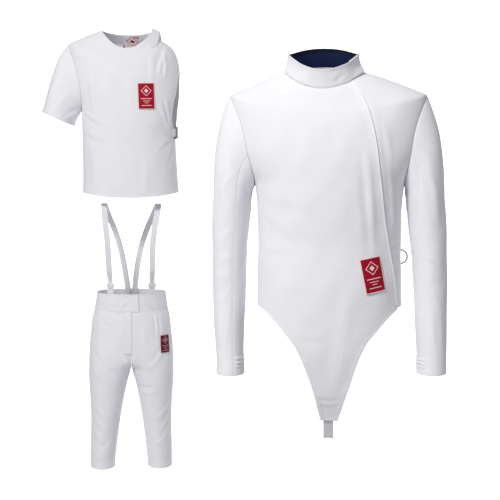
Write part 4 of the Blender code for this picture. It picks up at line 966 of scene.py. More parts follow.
def jacket_sleeves():
    """An under and an upper piece for each sleeve. Rows crowd together at the armhole and the cuff."""
    for side, word in ((-1, "right"), (1, "left")):
        sleeve = Sleeve(JACKET_ARMHOLES[side], JACKET_SLEEVES[side], out=(0.30, 0.45, 0.36), end_out=0.03,
                        fullness=1.0)
        reaches = np.concatenate([[0, 0.006, 0.014], np.arange(0.03, 1, 0.03), np.linspace(1, 6, 82),
                                  np.linspace(6, 7, 30)[1:-1], [6.985, 7.0]])[::-1]
        for part, first, last, width in (("under", -SLEEVE_SEAM, SLEEVE_SEAM, 0.13),
                                         ("upper", SLEEVE_SEAM, 2 * math.pi - SLEEVE_SEAM, 0.24)):
            angle, reach = np.meshgrid(first + (last - first) * end_shares(width), reaches)
            angle, reach = angle[:, ::side], reach[:, ::side]
            points = sleeve.point(angle, reach)
            if part == "under":
                points = points + tucks(angle, reach)[..., None] * grid_normals(points)
            lines = [row for row in SLEEVE_FOLDS if first - 0.01 < math.radians(row[0]) < last + 0.01]
            spots = sleeve_folds(sleeve, lines, 0.75)
            if side > 0:  # the left sleeve's folds are a little narrower and deeper than the right one's
                spots = [(line, width * 0.9, depth * 1.12) for line, width, depth in spots]
            panel(f"jacket_sleeve_{word}_{part}", JACKET, points, seams_and_hem(CUFF_HEM), spots)


jacket_sleeves()

# %% [markdown]
# ## The collar
# A stand collar starts at the closure, goes round the back and laps over its own beginning. It is a single
# padded layer with a navy lining inside, and a darker binding runs along the lining's top edge.

# %% The collar
COLLAR_ROWS = (
    (0.0043, -0.0357, 0.0183, -0.0170, 0.0880, 0.0890, 0.069, 0.062, 2.1),
    (0.018, -0.024, 0.033, -0.0172, 0.0835, 0.0835, 0.071, 0.058, 2.1),
    (0.031, -0.010, 0.047, -0.0172, 0.0808, 0.0808, 0.0745, 0.0555, 2.1),
    (0.0435, 0.0040, 0.0605, -0.0172, 0.0797, 0.0797, 0.078, 0.054, 2.2),
)
COLLAR_FLAP = math.radians(27)
FLAP_STAND = 0.0031
LINING_THICK = 0.0012
COLLAR_BODY = Body(COLLAR_ROWS)
collar_begin = float(closure(np.array([0.004]))[0])
BINDING = woven("navy twill binding, bias cut", "#071030", "#040A20", 0.72, 0.0010, 0.00008, 0.785, 0.05)


def collar_grid(first, last, bottom, top, off):
    """The collar's points between two turns and two stations. The end that laps over stands off the
    beginning by an eased lift, and its lower corner stands off further."""
    turns = np.linspace(first, last, round((last - first) * 0.085 / 0.0035) + 1)
    stations = bottom + (top - bottom) * end_shares(top - bottom, 0.003)
    turn, station = np.meshgrid(turns, stations)
    past = turn - (collar_begin + 2 * math.pi)
    low = 1 - ease((station - bottom) / 0.030)
    lift = FLAP_STAND * ease((past + 0.45) / 0.40) + 0.0045 * ease((past - 0.02) / 0.40) * low
    points = COLLAR_BODY.point(turn, station)
    return points + (lift + off)[..., None] * grid_normals(points)


COLLAR_FOLDS = (
    (0, -22, 12, -6, 20, -2, 6, 0.8),
    (18, -26, 30, -12, 44, -6, 5, 1.0),
    (-80, 4, -70, 16, -60, 20, 7, 0.7),
    (-50, -22, -44, -8, -47, 4, 7, 0.6),
)
collar_end = collar_begin + 2 * math.pi + COLLAR_FLAP
panel("jacket_collar", JACKET, collar_grid(collar_begin, collar_end, 0.0043, 0.0435, off=0.0),
      {"left": "seam", "right": 0.004, "bottom": "seam", "top": 0.0035},
      trunk_folds(COLLAR_BODY, COLLAR_FOLDS), sway=0.0005)
cloth("jacket_collar_lining_fine", JACKET,
      collar_grid(collar_begin + 0.10, collar_end - 0.70, 0.0063, 0.0432, -CLOTH - 0.0003),
      {}, ["jacket_collar_lining"], "navy_lining", LINING, thick=LINING_THICK, sway=0.0003)
cloth("jacket_collar_binding", JACKET,
      collar_grid(collar_begin + 0.12, collar_end - 0.72, 0.0365, 0.0438, -CLOTH - LINING_THICK - 0.0004),
      {}, [], "navy_lining", BINDING, thick=0.0007, sway=0.0)

# %% [markdown]
# ## Straps along a path
# A strap is a path with a facing direction at each point. Its width runs along path direction × facing.
# Elastic webbing is knitted with cords along its length, so the strap's cross-section carries fine ribs as
# a cosine.

# %% Straps along a path
WEBBING = 0.0012
CROTCH_STRAP_WIDTH, RING_TAB_WIDTH, SIDE_STRAP_WIDTH = 0.0225, 0.020, 0.026


def smooth_path(points, count):
    """Points evenly spaced along a smooth curve through a few given ones, by arc length."""
    points = np.asarray(points, float)
    reach = run_along(points)
    fine = np.linspace(0, reach[-1], 900)
    curve = np.stack([smooth_curve(reach, column)(fine) for column in points.T], axis=1)
    run = run_along(curve)
    return resampled(np.linspace(0, run[-1], count), run, curve)


def upright_normals(path):
    """Facings square to a path that keeps nearly the same x: (0, −dz, dy)."""
    along = np.gradient(path, axis=0)
    return np.stack([np.zeros(len(path)), -along[:, 2], along[:, 1]], axis=1)


def level_facing(path):
    """Facings square to a path that keeps nearly the same height: (dy, −dx, 0)."""
    along = np.gradient(path, axis=0)
    return np.stack([along[:, 1], -along[:, 0], np.zeros(len(path))], axis=1)


def strap(solid, place, path, facing, width, slot, finish, thick=WEBBING, ribs=0, columns=17, held="hung"):
    """A strap: rows along the path, columns across it, half its thickness to each side of the path, and a
    height of 0.12 mm × cos(2π × ribs × share) for its cords."""
    along = unit(np.gradient(path, axis=0))
    across = unit(np.cross(along, facing))
    face = np.cross(across, along)
    share = np.linspace(-0.5, 0.5, columns)[None, :, None]
    wide = np.reshape(np.broadcast_to(width, len(path)), (-1, 1, 1))
    cords = 0.00012 * np.cos(2 * math.pi * ribs * share) if ribs else 0.0
    points = path[:, None] + across[:, None] * wide * share + face[:, None] * (thick / 2 + cords)
    return cloth(f"{solid}_fine", place, points, {}, [solid], slot, finish, thick=thick, sway=0.0, held=held)


def refined(path, times):
    """More points along a path, by straight steps between them."""
    return resampled(np.linspace(0, len(path) - 1, (len(path) - 1) * times + 1), np.arange(len(path)), path)


def tongue_strap():
    """The elastic strap from behind the tongue's tip, round under it and up inside the back's hem."""
    inside = CLOTH + 0.0012 + WEBBING / 2
    tip_z = np.array((-0.752, -0.779))
    tip = JACKET_BODY.point(0.0, tip_z)
    slope = tip[0] - tip[1]
    back_from = np.array([0.0, slope[2], -slope[1]]) / np.hypot(slope[1], slope[2])
    tip = tip + inside * back_from * np.sign(back_from[1])
    back = [JACKET_BODY.point(math.pi, JACKET_BODY.station_at(math.pi, z)) for z in (-0.545, -0.515)]
    points = (
        tip[0], tip[1], (0, -0.0275, -0.808), (0, -0.0200, -0.8270), (0, -0.0120, -0.8294),
        (0, -0.0020, -0.8220), (0, 0.0380, -0.750), (0, 0.0740, -0.660), (0, 0.0930, -0.600),
        (0, back[0][1] - inside - 0.002, back[0][2]), (0, back[1][1] - inside - 0.0012, back[1][2]),
    )
    path = smooth_path([(0.0, point[1], point[2]) for point in points], 190)
    strap("jacket_crotch_strap", JACKET, path, upright_normals(path), CROTCH_STRAP_WIDTH, "elastic_webbing",
          ELASTIC, ribs=9, columns=37)


tongue_strap()

# %% [markdown]
# ## Woven labels
# A label is a small patch of satin-woven tape, laid on the garment's surface and lifted off it by a
# fraction of a millimetre. The pattern is woven in: a border, two diamonds and a few bars, which carry no
# meaning. It is worked out in the material from the label's own UV map. A diamond is |u| + |v| below a
# size, a bar a range of v.

# %% Woven labels
LABEL = 0.0008
LABEL_LIFT = 0.0022
SATIN_RIB = 0.0009


def satin(name, ground, thread, wide, tall, bars):
    """Satin-woven tape of this size: a thin border, a diamond outline with a small one inside it in the
    upper half, and bars. A bar's height, half thickness and half width are shares of the tape's size."""
    made, shader = new_material(name, ground, 0.42)
    tree = made.node_tree
    place = add_node(tree, "UVMap", uv_map="cloth")
    split = add_node(tree, "SeparateXYZ", {"Vector": place.outputs["UV"]})

    def maths(operation, first, second=None):
        """One arithmetic node on sockets or numbers."""
        node = add_node(tree, "Math", operation=operation)
        for socket, value in zip(node.inputs, (first, second)):
            if isinstance(value, (int, float)):
                socket.default_value = value
            elif value is not None:
                tree.links.new(value, socket)
        return node.outputs[0]

    v = maths("SUBTRACT", split.outputs["Y"], tall / 2)
    far_u, far_v = maths("ABSOLUTE", split.outputs["X"]), maths("ABSOLUTE", v)
    edge = maths("MAXIMUM", maths("SUBTRACT", far_u, wide / 2), maths("SUBTRACT", far_v, tall / 2))
    border = maths("GREATER_THAN", edge, -0.0016)
    reach = maths("ADD", far_u, maths("ABSOLUTE", maths("SUBTRACT", v, 0.20 * tall)))
    outline = maths("LESS_THAN", maths("ABSOLUTE", maths("SUBTRACT", reach, 0.30 * wide)), 0.022 * wide)
    pattern = maths("MAXIMUM", border, maths("MAXIMUM", outline, maths("LESS_THAN", reach, 0.13 * wide)))
    for height, half, reach in bars:
        bar = maths("LESS_THAN", maths("ABSOLUTE", maths("SUBTRACT", v, height * tall)), half * tall)
        pattern = maths("MAXIMUM", pattern, maths("MULTIPLY", bar, maths("LESS_THAN", far_u, reach * wide)))
    mixed_colour(tree, shader, pattern, ground, thread)
    weave = add_node(tree, "TexWave", {"Vector": place.outputs["UV"]}, Scale=WAVE / SATIN_RIB)
    bump = add_node(tree, "Bump", {"Height": weave.outputs["Fac"]}, Strength=0.3, Distance=0.00008)
    tree.links.new(bump.outputs["Normal"], shader.inputs["Normal"])
    shader.inputs["Specular IOR Level"].default_value = 0.2
    return made


LABEL_BARS = ((-0.10, 0.012, 0.34), (-0.19, 0.009, 0.22), (-0.26, 0.009, 0.12), (-0.36, 0.011, 0.30))


def label_patch(solid, place, points_of, wide, tall, slot, finish, ground, thread, off=LABEL_LIFT):
    """A patch of points_of(across, up), in metres from its middle, off the cloth by a small gap. The
    pattern is fitted to the patch's own length and width along the cloth."""
    across, up = np.meshgrid(end_shares(wide, 0.002) - 0.5, end_shares(tall, 0.002) - 0.5)
    points = points_of(across * wide, up * tall)
    made = cloth(f"{solid}_fine", place, points, {}, [solid], slot, COTTON, lift=off + LABEL, thick=LABEL,
                 sway=0.00015, held="laid")
    across, along = arc_lengths(points)
    wide, tall = float(across[:, -1].mean()), float(along[-1].mean())
    made.data.materials[0] = satin(finish, ground, thread, wide, tall, LABEL_BARS)
    return made


def on_front(body, x, height, lean):
    """Places on the front of a trunk about a middle, turned by a lean in degrees."""
    a = math.radians(lean)
    return lambda across, up: spot(body, x + across * math.cos(a) - up * math.sin(a),
                                   height + up * math.cos(a) + across * math.sin(a))


label_patch("jacket_label", JACKET, on_front(JACKET_BODY, 0.0935, -0.442, 11.0), 0.044, 0.078, "red_label",
            "red satin label tape, woven", "#A20422", "#F3D9DC")

# %% [markdown]
# ## The ring for the body cord
# A D ring of nickel-plated wire hangs in a folded tab at the left of the back. The wire is a tube swept
# along the D's outline: at each point a small circle lies square to the outline. The ring is the one part
# that swings, so it rides its own body.

# %% The ring for the body cord
RING_WIRE, RING_SHANK, RING_RADIUS, RING_HEIGHT = 0.0019, 0.008, 0.0160, -0.415
RING_TURN, RING_STAND = math.radians(113), 0.0062
NICKEL, nickel_shader = new_material("steel wire, nickel plated and drawn", "#A9A7A3", 0.42, 1.0)
scuffs = add_node(NICKEL.node_tree, "TexNoise",
                  {"Vector": add_node(NICKEL.node_tree, "TexCoord").outputs["Object"]}, Scale=900.0)
worn = add_node(NICKEL.node_tree, "MapRange", {"Value": scuffs.outputs["Fac"]}, To_Min=0.32,
                To_Max=0.52)
NICKEL.node_tree.links.new(worn.outputs["Result"], nickel_shader.inputs["Roughness"])


def ring_outline(count):
    """The D: a half circle, two short shanks, and a straight bar with rounded corners, evenly resampled."""
    bow = np.linspace(-math.pi / 2, math.pi / 2, 60)
    line = [(RING_SHANK + RING_RADIUS * math.cos(a), RING_RADIUS * math.sin(a)) for a in bow]
    corner = np.linspace(0, math.pi / 2, 9)
    line += [(0.003 - 0.003 * math.sin(a), RING_RADIUS - 0.003 + 0.003 * math.cos(a)) for a in corner]
    line += [(0.003 - 0.003 * math.cos(a), 0.003 - RING_RADIUS - 0.003 * math.sin(a)) for a in corner]
    line = np.array([*line, line[0]])
    run = run_along(line)
    even = resampled(np.linspace(0, run[-1], count, endpoint=False), run, line)
    return np.insert(even, 1, 0.0, axis=1)


def tube(loop, radius, around):
    """A closed tube of the circles p + radius × (cos a × outward + sin a × side) round the outline."""
    along = unit(np.roll(loop, -1, axis=0) - np.roll(loop, 1, axis=0))
    side = np.array([0.0, 1.0, 0.0])
    outward = np.cross(along, side)
    a = np.linspace(0, 2 * math.pi, around, endpoint=False)[:, None, None]
    points = loop + radius * (np.cos(a) * outward + np.sin(a) * side)
    return points.reshape(-1, 3), grid_quads(around, len(loop), True, True)


def body_normal(body, turn, station):
    """The normal of a trunk at one place, from four points round it."""
    across = body.point(turn + 0.002, station) - body.point(turn - 0.002, station)
    along = body.point(turn, station + 0.0004) - body.point(turn, station - 0.0004)
    return unit(np.cross(across, along))


def ring_and_tab():
    """The ring about its upright bar, which stands off the back, and the tab: a path that lies on the
    back, goes round the bar by 250 degrees and comes back over itself."""
    out = body_normal(JACKET_BODY, RING_TURN, RING_HEIGHT)
    bar = JACKET_BODY.point(RING_TURN, RING_HEIGHT) + RING_STAND * out
    bar[2] = RING_HEIGHT
    points, faces = tube(ring_outline(150), RING_WIRE, 20)
    ring = mesh_object("jacket_ring_fine", points + bar, faces, NICKEL)
    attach(ring, "ring")
    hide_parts("jacket_ring")
    eye = RING_WIRE + 0.0004 + WEBBING / 2
    tail = RING_TURN + np.linspace(0.30, 0.06, 5)
    ground = JACKET_BODY.point(tail, RING_HEIGHT)
    beside = JACKET_BODY.point(tail + 0.002, RING_HEIGHT) - ground
    away = unit(np.stack([beside[:, 1], -beside[:, 0], np.zeros(5)], axis=1))
    lower = ground + (0.0014 + WEBBING / 2) * away
    upper = lower + (WEBBING + 0.0003) * away
    sweep = math.atan2(out[1], out[0]) + np.radians(np.linspace(-172, 78, 20))
    round_bar = np.stack([bar[0] + eye * np.cos(sweep), bar[1] + eye * np.sin(sweep), 0 * sweep], 1)
    path = np.concatenate([lower, round_bar, upper[::-1]])
    path[:, 2] = RING_HEIGHT
    path = refined(path, 3)
    strap("jacket_ring_tab", JACKET, path, level_facing(path), RING_TAB_WIDTH, "elastic_webbing", ELASTIC,
          columns=15, held="folded")


ring_and_tab()

# %% [markdown]
# ## The underarm protector
# It is worn under the jacket on the sword arm's side only: one short sleeve, a wide neck, and a left side
# that is open from the armhole down to a strap with a slide buckle. Its surface is drafted in its own
# frame.

# %% The underarm protector
PROTECTOR_ROWS = (
    (-0.540, -0.555, -0.533, 0.0, 0.1636, 0.1600, 0.113, 0.106, 2.2),
    (-0.440, -0.446, -0.437, 0.0, 0.1625, 0.1545, 0.116, 0.102, 2.2),
    (-0.352, -0.354, -0.351, 0.0, 0.1625, 0.1505, 0.118, 0.100, 2.2),
    (-0.310, -0.310, -0.310, 0.0, 0.1630, 0.1535, 0.120, 0.104, 2.2),
    (-0.266, -0.265, -0.264, 0.0, 0.1640, 0.1595, 0.120, 0.108, 2.2),
    (-0.205, -0.205, -0.201, 0.0, 0.1780, 0.1690, 0.118, 0.113, 2.2),
    (-0.150, -0.154, -0.145, 0.0, 0.1920, 0.1700, 0.112, 0.113, 2.2),
    (-0.100, -0.120, -0.094, 0.0, 0.2010, 0.1620, 0.104, 0.108, 2.2),
    (-0.070, -0.107, -0.066, -0.001, 0.2050, 0.1500, 0.100, 0.104, 2.2),
    (-0.046, -0.096, -0.044, -0.002, 0.2020, 0.1290, 0.095, 0.098, 2.2),
    (-0.0280, -0.086, -0.029, -0.005, 0.1610, 0.1060, 0.088, 0.088, 2.2),
    (-0.0140, -0.077, -0.018, -0.009, 0.1260, 0.0960, 0.082, 0.077, 2.15),
    (0.000, -0.064, -0.007, -0.009, 0.0850, 0.0870, 0.077, 0.067, 2.1),
)
FRONT_EDGE = ((-0.540, 87.0), (-0.410, 87.0), (-0.360, 86.0), (-0.330, 70.0), (-0.300, 63.0), (-0.250, 61.0),
              (-0.190, 66.0), (-0.120, 77.0), (-0.046, 90.0))
BACK_EDGE = ((-0.540, 87.0), (-0.410, 87.0), (-0.360, 87.0), (-0.330, 90.0), (-0.300, 97.0), (-0.250, 103.0),
             (-0.180, 106.0), (-0.120, 102.0), (-0.046, 90.0))
PROTECTOR_SLEEVE = (
    (1.0, -0.286, 0.2405, 0.0, 0.0575, 0.077, 0.40),
    (2.0, -0.294, 0.2430, 0.0, 0.0575, 0.0775, 0.41),
)
NECK_HEM, OPEN_SIDE_HEM = 0.020, 0.008
PROTECTOR_BODY = Body(PROTECTOR_ROWS)
PROTECTOR_ARMHOLE = Armhole(PROTECTOR_BODY, -1, bottom=-0.266, top=-0.046, reach=27)
front_turn = columns_of(("station", "turn"), FRONT_EDGE)["turn"]
back_turn = columns_of(("station", "turn"), BACK_EDGE)["turn"]
PROTECTOR_MARKS = np.array((-0.540, -0.365, -0.284, -0.266, -0.046, -0.0280, -0.0140, 0.0))
PROTECTOR_FRONT_FOLDS = (
    (94, -60, 102, -100, 100, -150, 8, 2.2),
    (112, -75, 122, -115, 116, -165, 7, 2.0),
    (72, -80, 78, -130, 70, -190, 10, 1.2),
    (118, -225, 128, -270, 134, -325, 6, 1.9),
    (98, -240, 114, -290, 131, -332, 7, 1.6),
    (70, -290, 100, -325, 136, -343, 7, 1.3),
    (88, -402, 112, -372, 140, -356, 7, 1.4),
    (118, -440, 130, -405, 141, -366, 7, 1.2),
    (-130, -150, -118, -205, -122, -290, 11, 1.9),
    (-146, -270, -118, -300, -78, -312, 9, 1.5),
    (-148, -330, -112, -362, -64, -366, 9, 1.2),
    (-60, -120, -72, -190, -60, -260, 13, 1.1),
    (8, -130, 0, -210, 12, -300, 14, 0.9),
    (-70, -400, -60, -470, -66, -540, 12, 1.3),
    (50, -410, 58, -470, 50, -545, 12, 1.2),
    (-125, -400, -118, -460, -126, -530, 10, 1.0),
)
PROTECTOR_BACK_FOLDS = (
    (-100, -120, -92, -220, -100, -330, 12, 1.9),
    (86, -110, 94, -200, 86, -300, 12, 1.7),
    (0, -90, 10, -170, -4, -260, 14, 1.1),
    (-130, -300, -80, -330, -20, -322, 9, 1.4),
    (135, -330, 90, -345, 40, -336, 8, 1.5),
    (138, -360, 110, -400, 75, -420, 7, 1.2),
    (-70, -390, -62, -460, -70, -530, 12, 1.2),
    (56, -400, 62, -460, 54, -525, 11, 1.3),
)
PROTECTOR_SLEEVE_FOLDS = (
    (20, 0.30, 42, 0.62, 60, 1.10, 8, 2.2),
    (340, 0.30, 320, 0.60, 305, 1.10, 8, 2.0),
    (75, 0.25, 95, 0.60, 100, 1.20, 9, 1.8),
    (255, 0.30, 262, 0.65, 258, 1.20, 9, 1.6),
    (130, 0.20, 140, 0.60, 138, 1.10, 11, 1.3),
    (185, 0.20, 192, 0.60, 188, 1.10, 12, 1.0),
)


def protector_pieces():
    """The front, the back and the sleeve. The open left side is hemmed from the strap up to the arm."""
    stations = through_marks(PROTECTOR_MARKS)
    turn, station = rows_between(PROTECTOR_ARMHOLE.front_edge, lambda s: np.radians(front_turn(s)), stations,
                                 end_shares(0.40)[None, :])
    open_side = ((stations > -0.362) & (stations < -0.05))[:, None] * OPEN_SIDE_HEM
    ends = {"bottom": TRUNK_HEM, "top": NECK_HEM}
    panel("protector_front", PROTECTOR, PROTECTOR_BODY.point(turn, station),
          {"left": "seam", "right": open_side, **ends},
          trunk_folds(PROTECTOR_BODY, PROTECTOR_FRONT_FOLDS, 1.8))
    turn, station = rows_between(lambda s: np.radians(back_turn(s)), back_right(PROTECTOR_ARMHOLE), stations,
                                 end_shares(0.38)[None, :])
    panel("protector_back", PROTECTOR, PROTECTOR_BODY.point(turn, station),
          {"left": open_side, "right": "seam", **ends},
          trunk_folds(PROTECTOR_BODY, PROTECTOR_BACK_FOLDS, 1.6, back=True))
    sleeve = Sleeve(PROTECTOR_ARMHOLE, PROTECTOR_SLEEVE, out=(0.50, 0.76, 0.20), end_out=0.30, fullness=0.85)
    past_first = [1.0, 1.3, 1.6, 1.85, 1.96, 2.0]
    reaches = np.concatenate([[0, 0.008, 0.02], np.arange(0.045, 1.0, 0.03), past_first])[::-1]
    angle, reach = np.meshgrid(np.linspace(0, 2 * math.pi, 120, endpoint=False)[::-1], reaches)
    panel("protector_sleeve", PROTECTOR, sleeve.point(angle, reach), {"bottom": TRUNK_HEM, "top": "seam"},
          sleeve_folds(sleeve, PROTECTOR_SLEEVE_FOLDS, 1.6), ring=True)


protector_pieces()
label_patch("protector_label", PROTECTOR, on_front(PROTECTOR_BODY, 0.0560, -0.2222, 1.5), 0.053, 0.085,
            "red_label", "red satin label tape, woven wider", "#A80526", "#F3D9DC")


def inside_back(across, up):
    """Places inside the back of the neck, 0.075 m across to a radian. They run from left to right as seen
    from inside, so the normals of this grid point into the neck."""
    turn = math.radians(172) - across / 0.075
    return PROTECTOR_BODY.point(turn, PROTECTOR_BODY.station_at(turn, -0.037 + up))


label_patch("protector_size_label", PROTECTOR, inside_back, 0.036, 0.050, "white_label",
            "white satin size label, woven", "#F0EFF1", "#C2283A", CLOTH + 0.0012)


def neck_facing():
    """The facing inside the back of the neck: a strip of the back's own cloth with a stitched edge."""
    turn, station = np.meshgrid(np.radians(np.linspace(112, 248, 90)), np.linspace(-0.0300, -0.0012, 12))
    cloth("protector_neck_facing", PROTECTOR, PROTECTOR_BODY.point(turn, station), {"bottom": 0.004}, [],
          "cotton_drill", COTTON, lift=-CLOTH - 0.0003, thick=0.0007, sway=0.0)


neck_facing()

# %% [markdown]
# ## The shoulder tab and the side closing
# The left shoulder closes with a tab that comes over from the back and ends in a point on the front, where
# it is stitched down. The open left side is held by a strap that runs through a slide of grey acetal.

# %% The shoulder tab and the side closing
TAB_SEAT = ((127.5, -0.0500, 0.0022), (124.5, -0.0420, 0.0024), (121.5, -0.0340, 0.0034))
SHOULDER_TAB = ((0.0890, 0.036, -0.0050), (0.0885, 0.010, 0.0040), (0.0880, -0.016, 0.0010),
                (0.0862, -0.036, -0.0140), (0.0822, -0.0515, -0.0350), (0.0770, -0.0665, -0.0590))
TAB_TILT, TAB_WIDTH, TAB_THICK = math.radians(24), 0.028, 0.0016
STRAP_LEVEL = -0.3400
# a slide's width, height and depth, and the thickness of its rims and of its front and back walls
BUCKLE_SIZES = (0.024, 0.040, 0.0050, 0.0045, 0.0013)
BRACE_SLIDE_SIZES = (0.0125, 0.029, 0.0060, 0.0028, 0.0012)


def shoulder_tab():
    """The tab: seated on the back first, then tilted outwards as it comes over, with a tip that narrows."""
    turn, station, lift = np.array(TAB_SEAT).T
    seat_normal = body_normal(PROTECTOR_BODY, np.radians(turn), station)
    seat = PROTECTOR_BODY.point(np.radians(turn), station) + lift[:, None] * seat_normal
    path = smooth_path(np.concatenate([seat, SHOULDER_TAB]), 90)
    reach = np.linspace(0, 1, len(path))
    width = TAB_WIDTH * np.where(reach > 0.90, 1 - (reach - 0.90) / 0.10 * 0.50, 1.0)
    face = unit(-upright_normals(path))
    face[:, 0] = math.tan(TAB_TILT)
    seated = 1 - ease((reach - 0.10) / 0.18)[:, None]
    face = seated * seat_normal[1] + (1 - seated) * face
    strap("protector_shoulder_tab", PROTECTOR, path, face, width, "cotton_drill", COTTON, thick=TAB_THICK,
          columns=19, held="laid")


def side_strap():
    """The strap across the open side: it lies on front and back and runs straight through the slide."""
    turns = np.radians((56.0, 60.0, 64.0, 95.0, 102.0, 110.0))
    out = body_normal(PROTECTOR_BODY, turns, STRAP_LEVEL)
    lift = 0.0004 + WEBBING / 2 + np.array((0.0010, 0.0012, 0.0020, 0.0024, 0.0018, 0.0016))
    lying = PROTECTOR_BODY.point(turns, STRAP_LEVEL) + lift[:, None] * out
    turn = math.radians(79.0)
    face = unit(body_normal(PROTECTOR_BODY, turn, STRAP_LEVEL) * (1, 1, 0))
    across = np.array([-face[1], face[0], 0.0])
    centre = PROTECTOR_BODY.point(turn, STRAP_LEVEL) + 0.0062 * face
    straight = [centre - 0.013 * across, centre, centre + 0.013 * across]
    path = np.concatenate([lying[:3], straight, lying[3:]])
    path[:, 2] = centre[2]
    path = smooth_path(path, 90)
    strap("protector_side_strap", PROTECTOR, path, level_facing(path), SIDE_STRAP_WIDTH, "elastic_webbing",
          BRACE_TAPE, ribs=11, columns=37, held="stretched")
    return centre, across, face


def rounded_loop(half_tall, half_wide, corner, count):
    """A rounded rectangle, anticlockwise, with count points in each corner."""
    a = np.linspace(0, math.pi / 2, count)
    quarters = [(1, 1, a), (-1, 1, a + math.pi / 2), (-1, -1, a + math.pi), (1, -1, a + 3 * math.pi / 2)]
    flat, tall = half_wide - corner, half_tall - corner
    return np.concatenate([np.stack([sy * flat + corner * np.cos(q), sz * tall + corner * np.sin(q)], 1)
                           for sy, sz, q in quarters])


def slide_frame(solid, place, sizes, axes, centre, finish):
    """A moulded slide: a frame that the strap runs through. Its rings go once round the tube's section:
    outer face, one end, inner face, other end, with the ends rounded by an arc of radius r."""
    wide, tall, deep, rim, wall = sizes
    corner = deep * 0.28
    outer = rounded_loop(tall / 2, deep / 2, corner, 9)
    inner = rounded_loop(tall / 2 - rim, deep / 2 - wall, corner * 0.3, 9)
    r = 0.0006
    arc = np.linspace(0, math.pi / 2, 5)
    rings = []
    for near, far, angles in ((outer, inner, arc), (inner, outer, arc[::-1])):
        rings += [(near + (far - near) * 0.22 * (1 - math.cos(a)), wide / 2 - r + r * math.sin(a))
                  for a in angles]
    rings += [(loop, -x) for loop, x in rings[::-1]]
    points = np.stack([np.column_stack([np.full(len(loop), x), loop]) for loop, x in rings])
    faces = grid_quads(*points.shape[:2], True, True)[:, [0, 3, 2, 1]]
    if np.linalg.det(np.array(axes)) < 0:
        faces = faces[:, ::-1]
    world = place(points.reshape(-1, 3) @ np.array(axes) + centre)
    made = mesh_object(f"{solid}_fine", world, faces, finish)
    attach(made, GARMENTS)
    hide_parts(solid)
    return made


GREY_ACETAL = mottled("grey acetal, injection moulded", "#3C3E44", "#484A51", 0.40, 0.0016, 0.00003)
WHITE_ACETAL = mottled("white acetal, injection moulded", "#EDEDEF", "#DEDEE3", 0.34, 0.0018, 0.00003)
shoulder_tab()
buckle_centre, buckle_across, buckle_face = side_strap()
slide_frame("protector_buckle", PROTECTOR, BUCKLE_SIZES, (buckle_across, -buckle_face, (0.0, 0.0, 1.0)),
            buckle_centre, GREY_ACETAL)

# %% [markdown]
# ## The breeches
# Each leg is a rounded section about its own centre. Above the crotch the two sections run into each other
# and are cut off at the middle plane, where the fly and the back seam lie. A forward pleat is a ridge in
# the front piece that is sharp on one side, opens below the waistband and fades down the thigh.

# %% The breeches
WAISTBAND_BOTTOM, PLEAT_END, CROTCH, CUFF_TOP, BREECHES_HEM = -0.058, -0.215, -0.259, -0.5745, -0.6075
LEG_ROWS = (
    # station, centre, half, front, back, square
    (-0.6075, 0.0985, 0.0428, 0.060, 0.062, 2.0),
    (-0.5745, 0.0975, 0.0436, 0.062, 0.064, 2.0),
    (-0.4800, 0.0910, 0.0483, 0.069, 0.071, 2.0),
    (-0.3955, 0.0850, 0.0545, 0.079, 0.079, 2.1),
    (-0.3137, 0.0792, 0.0650, 0.090, 0.090, 2.25),
    (-0.282, 0.0757, 0.0700, 0.0940, 0.097, 2.35),
    (-0.259, 0.0725, 0.0726, 0.0965, 0.102, 2.4),
    (-0.252, 0.0690, 0.0760, 0.0975, 0.1035, 2.4),
    (-0.243, 0.0620, 0.0830, 0.0990, 0.1060, 2.4),
    (-0.228, 0.0500, 0.0950, 0.1005, 0.1095, 2.45),
    (-0.191, 0.0300, 0.1130, 0.102, 0.116, 2.5),
    (-0.150, 0.0120, 0.1275, 0.100, 0.115, 2.4),
    (-0.0886, 0.0030, 0.1300, 0.094, 0.101, 2.2),
    (-0.058, 0.0, 0.1258, 0.0878, 0.0888, 2.1),
    (0.001, 0.0, 0.1165, 0.083, 0.081, 2.1),
)


class Legs:
    """Point(angle, station): x is the centre plus half the width times cos(angle), y the depth times
    sin(angle), each to the power 2 / square. The angle is 0 at the outer side and 90 degrees in front."""

    def __init__(self, side):
        self.side = side
        self.column = columns_of(("station", "centre", "half", "front", "back", "square"), LEG_ROWS)

    def point(self, angle, station):
        angle, station = np.broadcast_arrays(np.asarray(angle, float), np.asarray(station, float))
        value = {name: column(station) for name, column in self.column.items()}
        power = 2 / value["square"]
        deep = np.where(np.sin(angle) > 0, value["front"], value["back"])
        fold = self.pleat(angle, station)
        x = value["centre"] + (value["half"] + fold) * signed_power(np.cos(angle), power)
        y = -(deep + fold) * signed_power(np.sin(angle), power)
        return np.stack([self.side * x, y, station], axis=-1)

    def pleat(self, angle, station):
        """0.0040 m × exp(−q²), with q measured across the pleat and 2.6 times steeper on its outer side."""
        share = 1 - angle / self.inner_angle(station)
        fade = ease((station - PLEAT_END) / (WAISTBAND_BOTTOM - PLEAT_END))
        fade = fade * ease((WAISTBAND_BOTTOM - 0.002 - station) / 0.022)
        across = (share - 0.50) * 0.155 / 0.020
        return 0.0040 * fade * np.exp(-((across * np.where(across < 0, 2.6, 1.0)) ** 2))

    def inner_angle(self, station):
        """The angle at the middle plane."""
        return self.angle_at(0.0, station)

    def angle_at(self, x, station):
        """The angle of the section's point at this distance from the middle plane."""
        share = (x - self.column["centre"](station)) / self.column["half"](station)
        return np.arccos(signed_power(np.clip(share, -1, 1), self.column["square"](station) / 2))

    def spot(self, x, height, sign=1):
        """The point of the front (sign 1) or the back (sign −1) at this distance from the middle plane."""
        return self.point(sign * self.angle_at(abs(x), height), height)


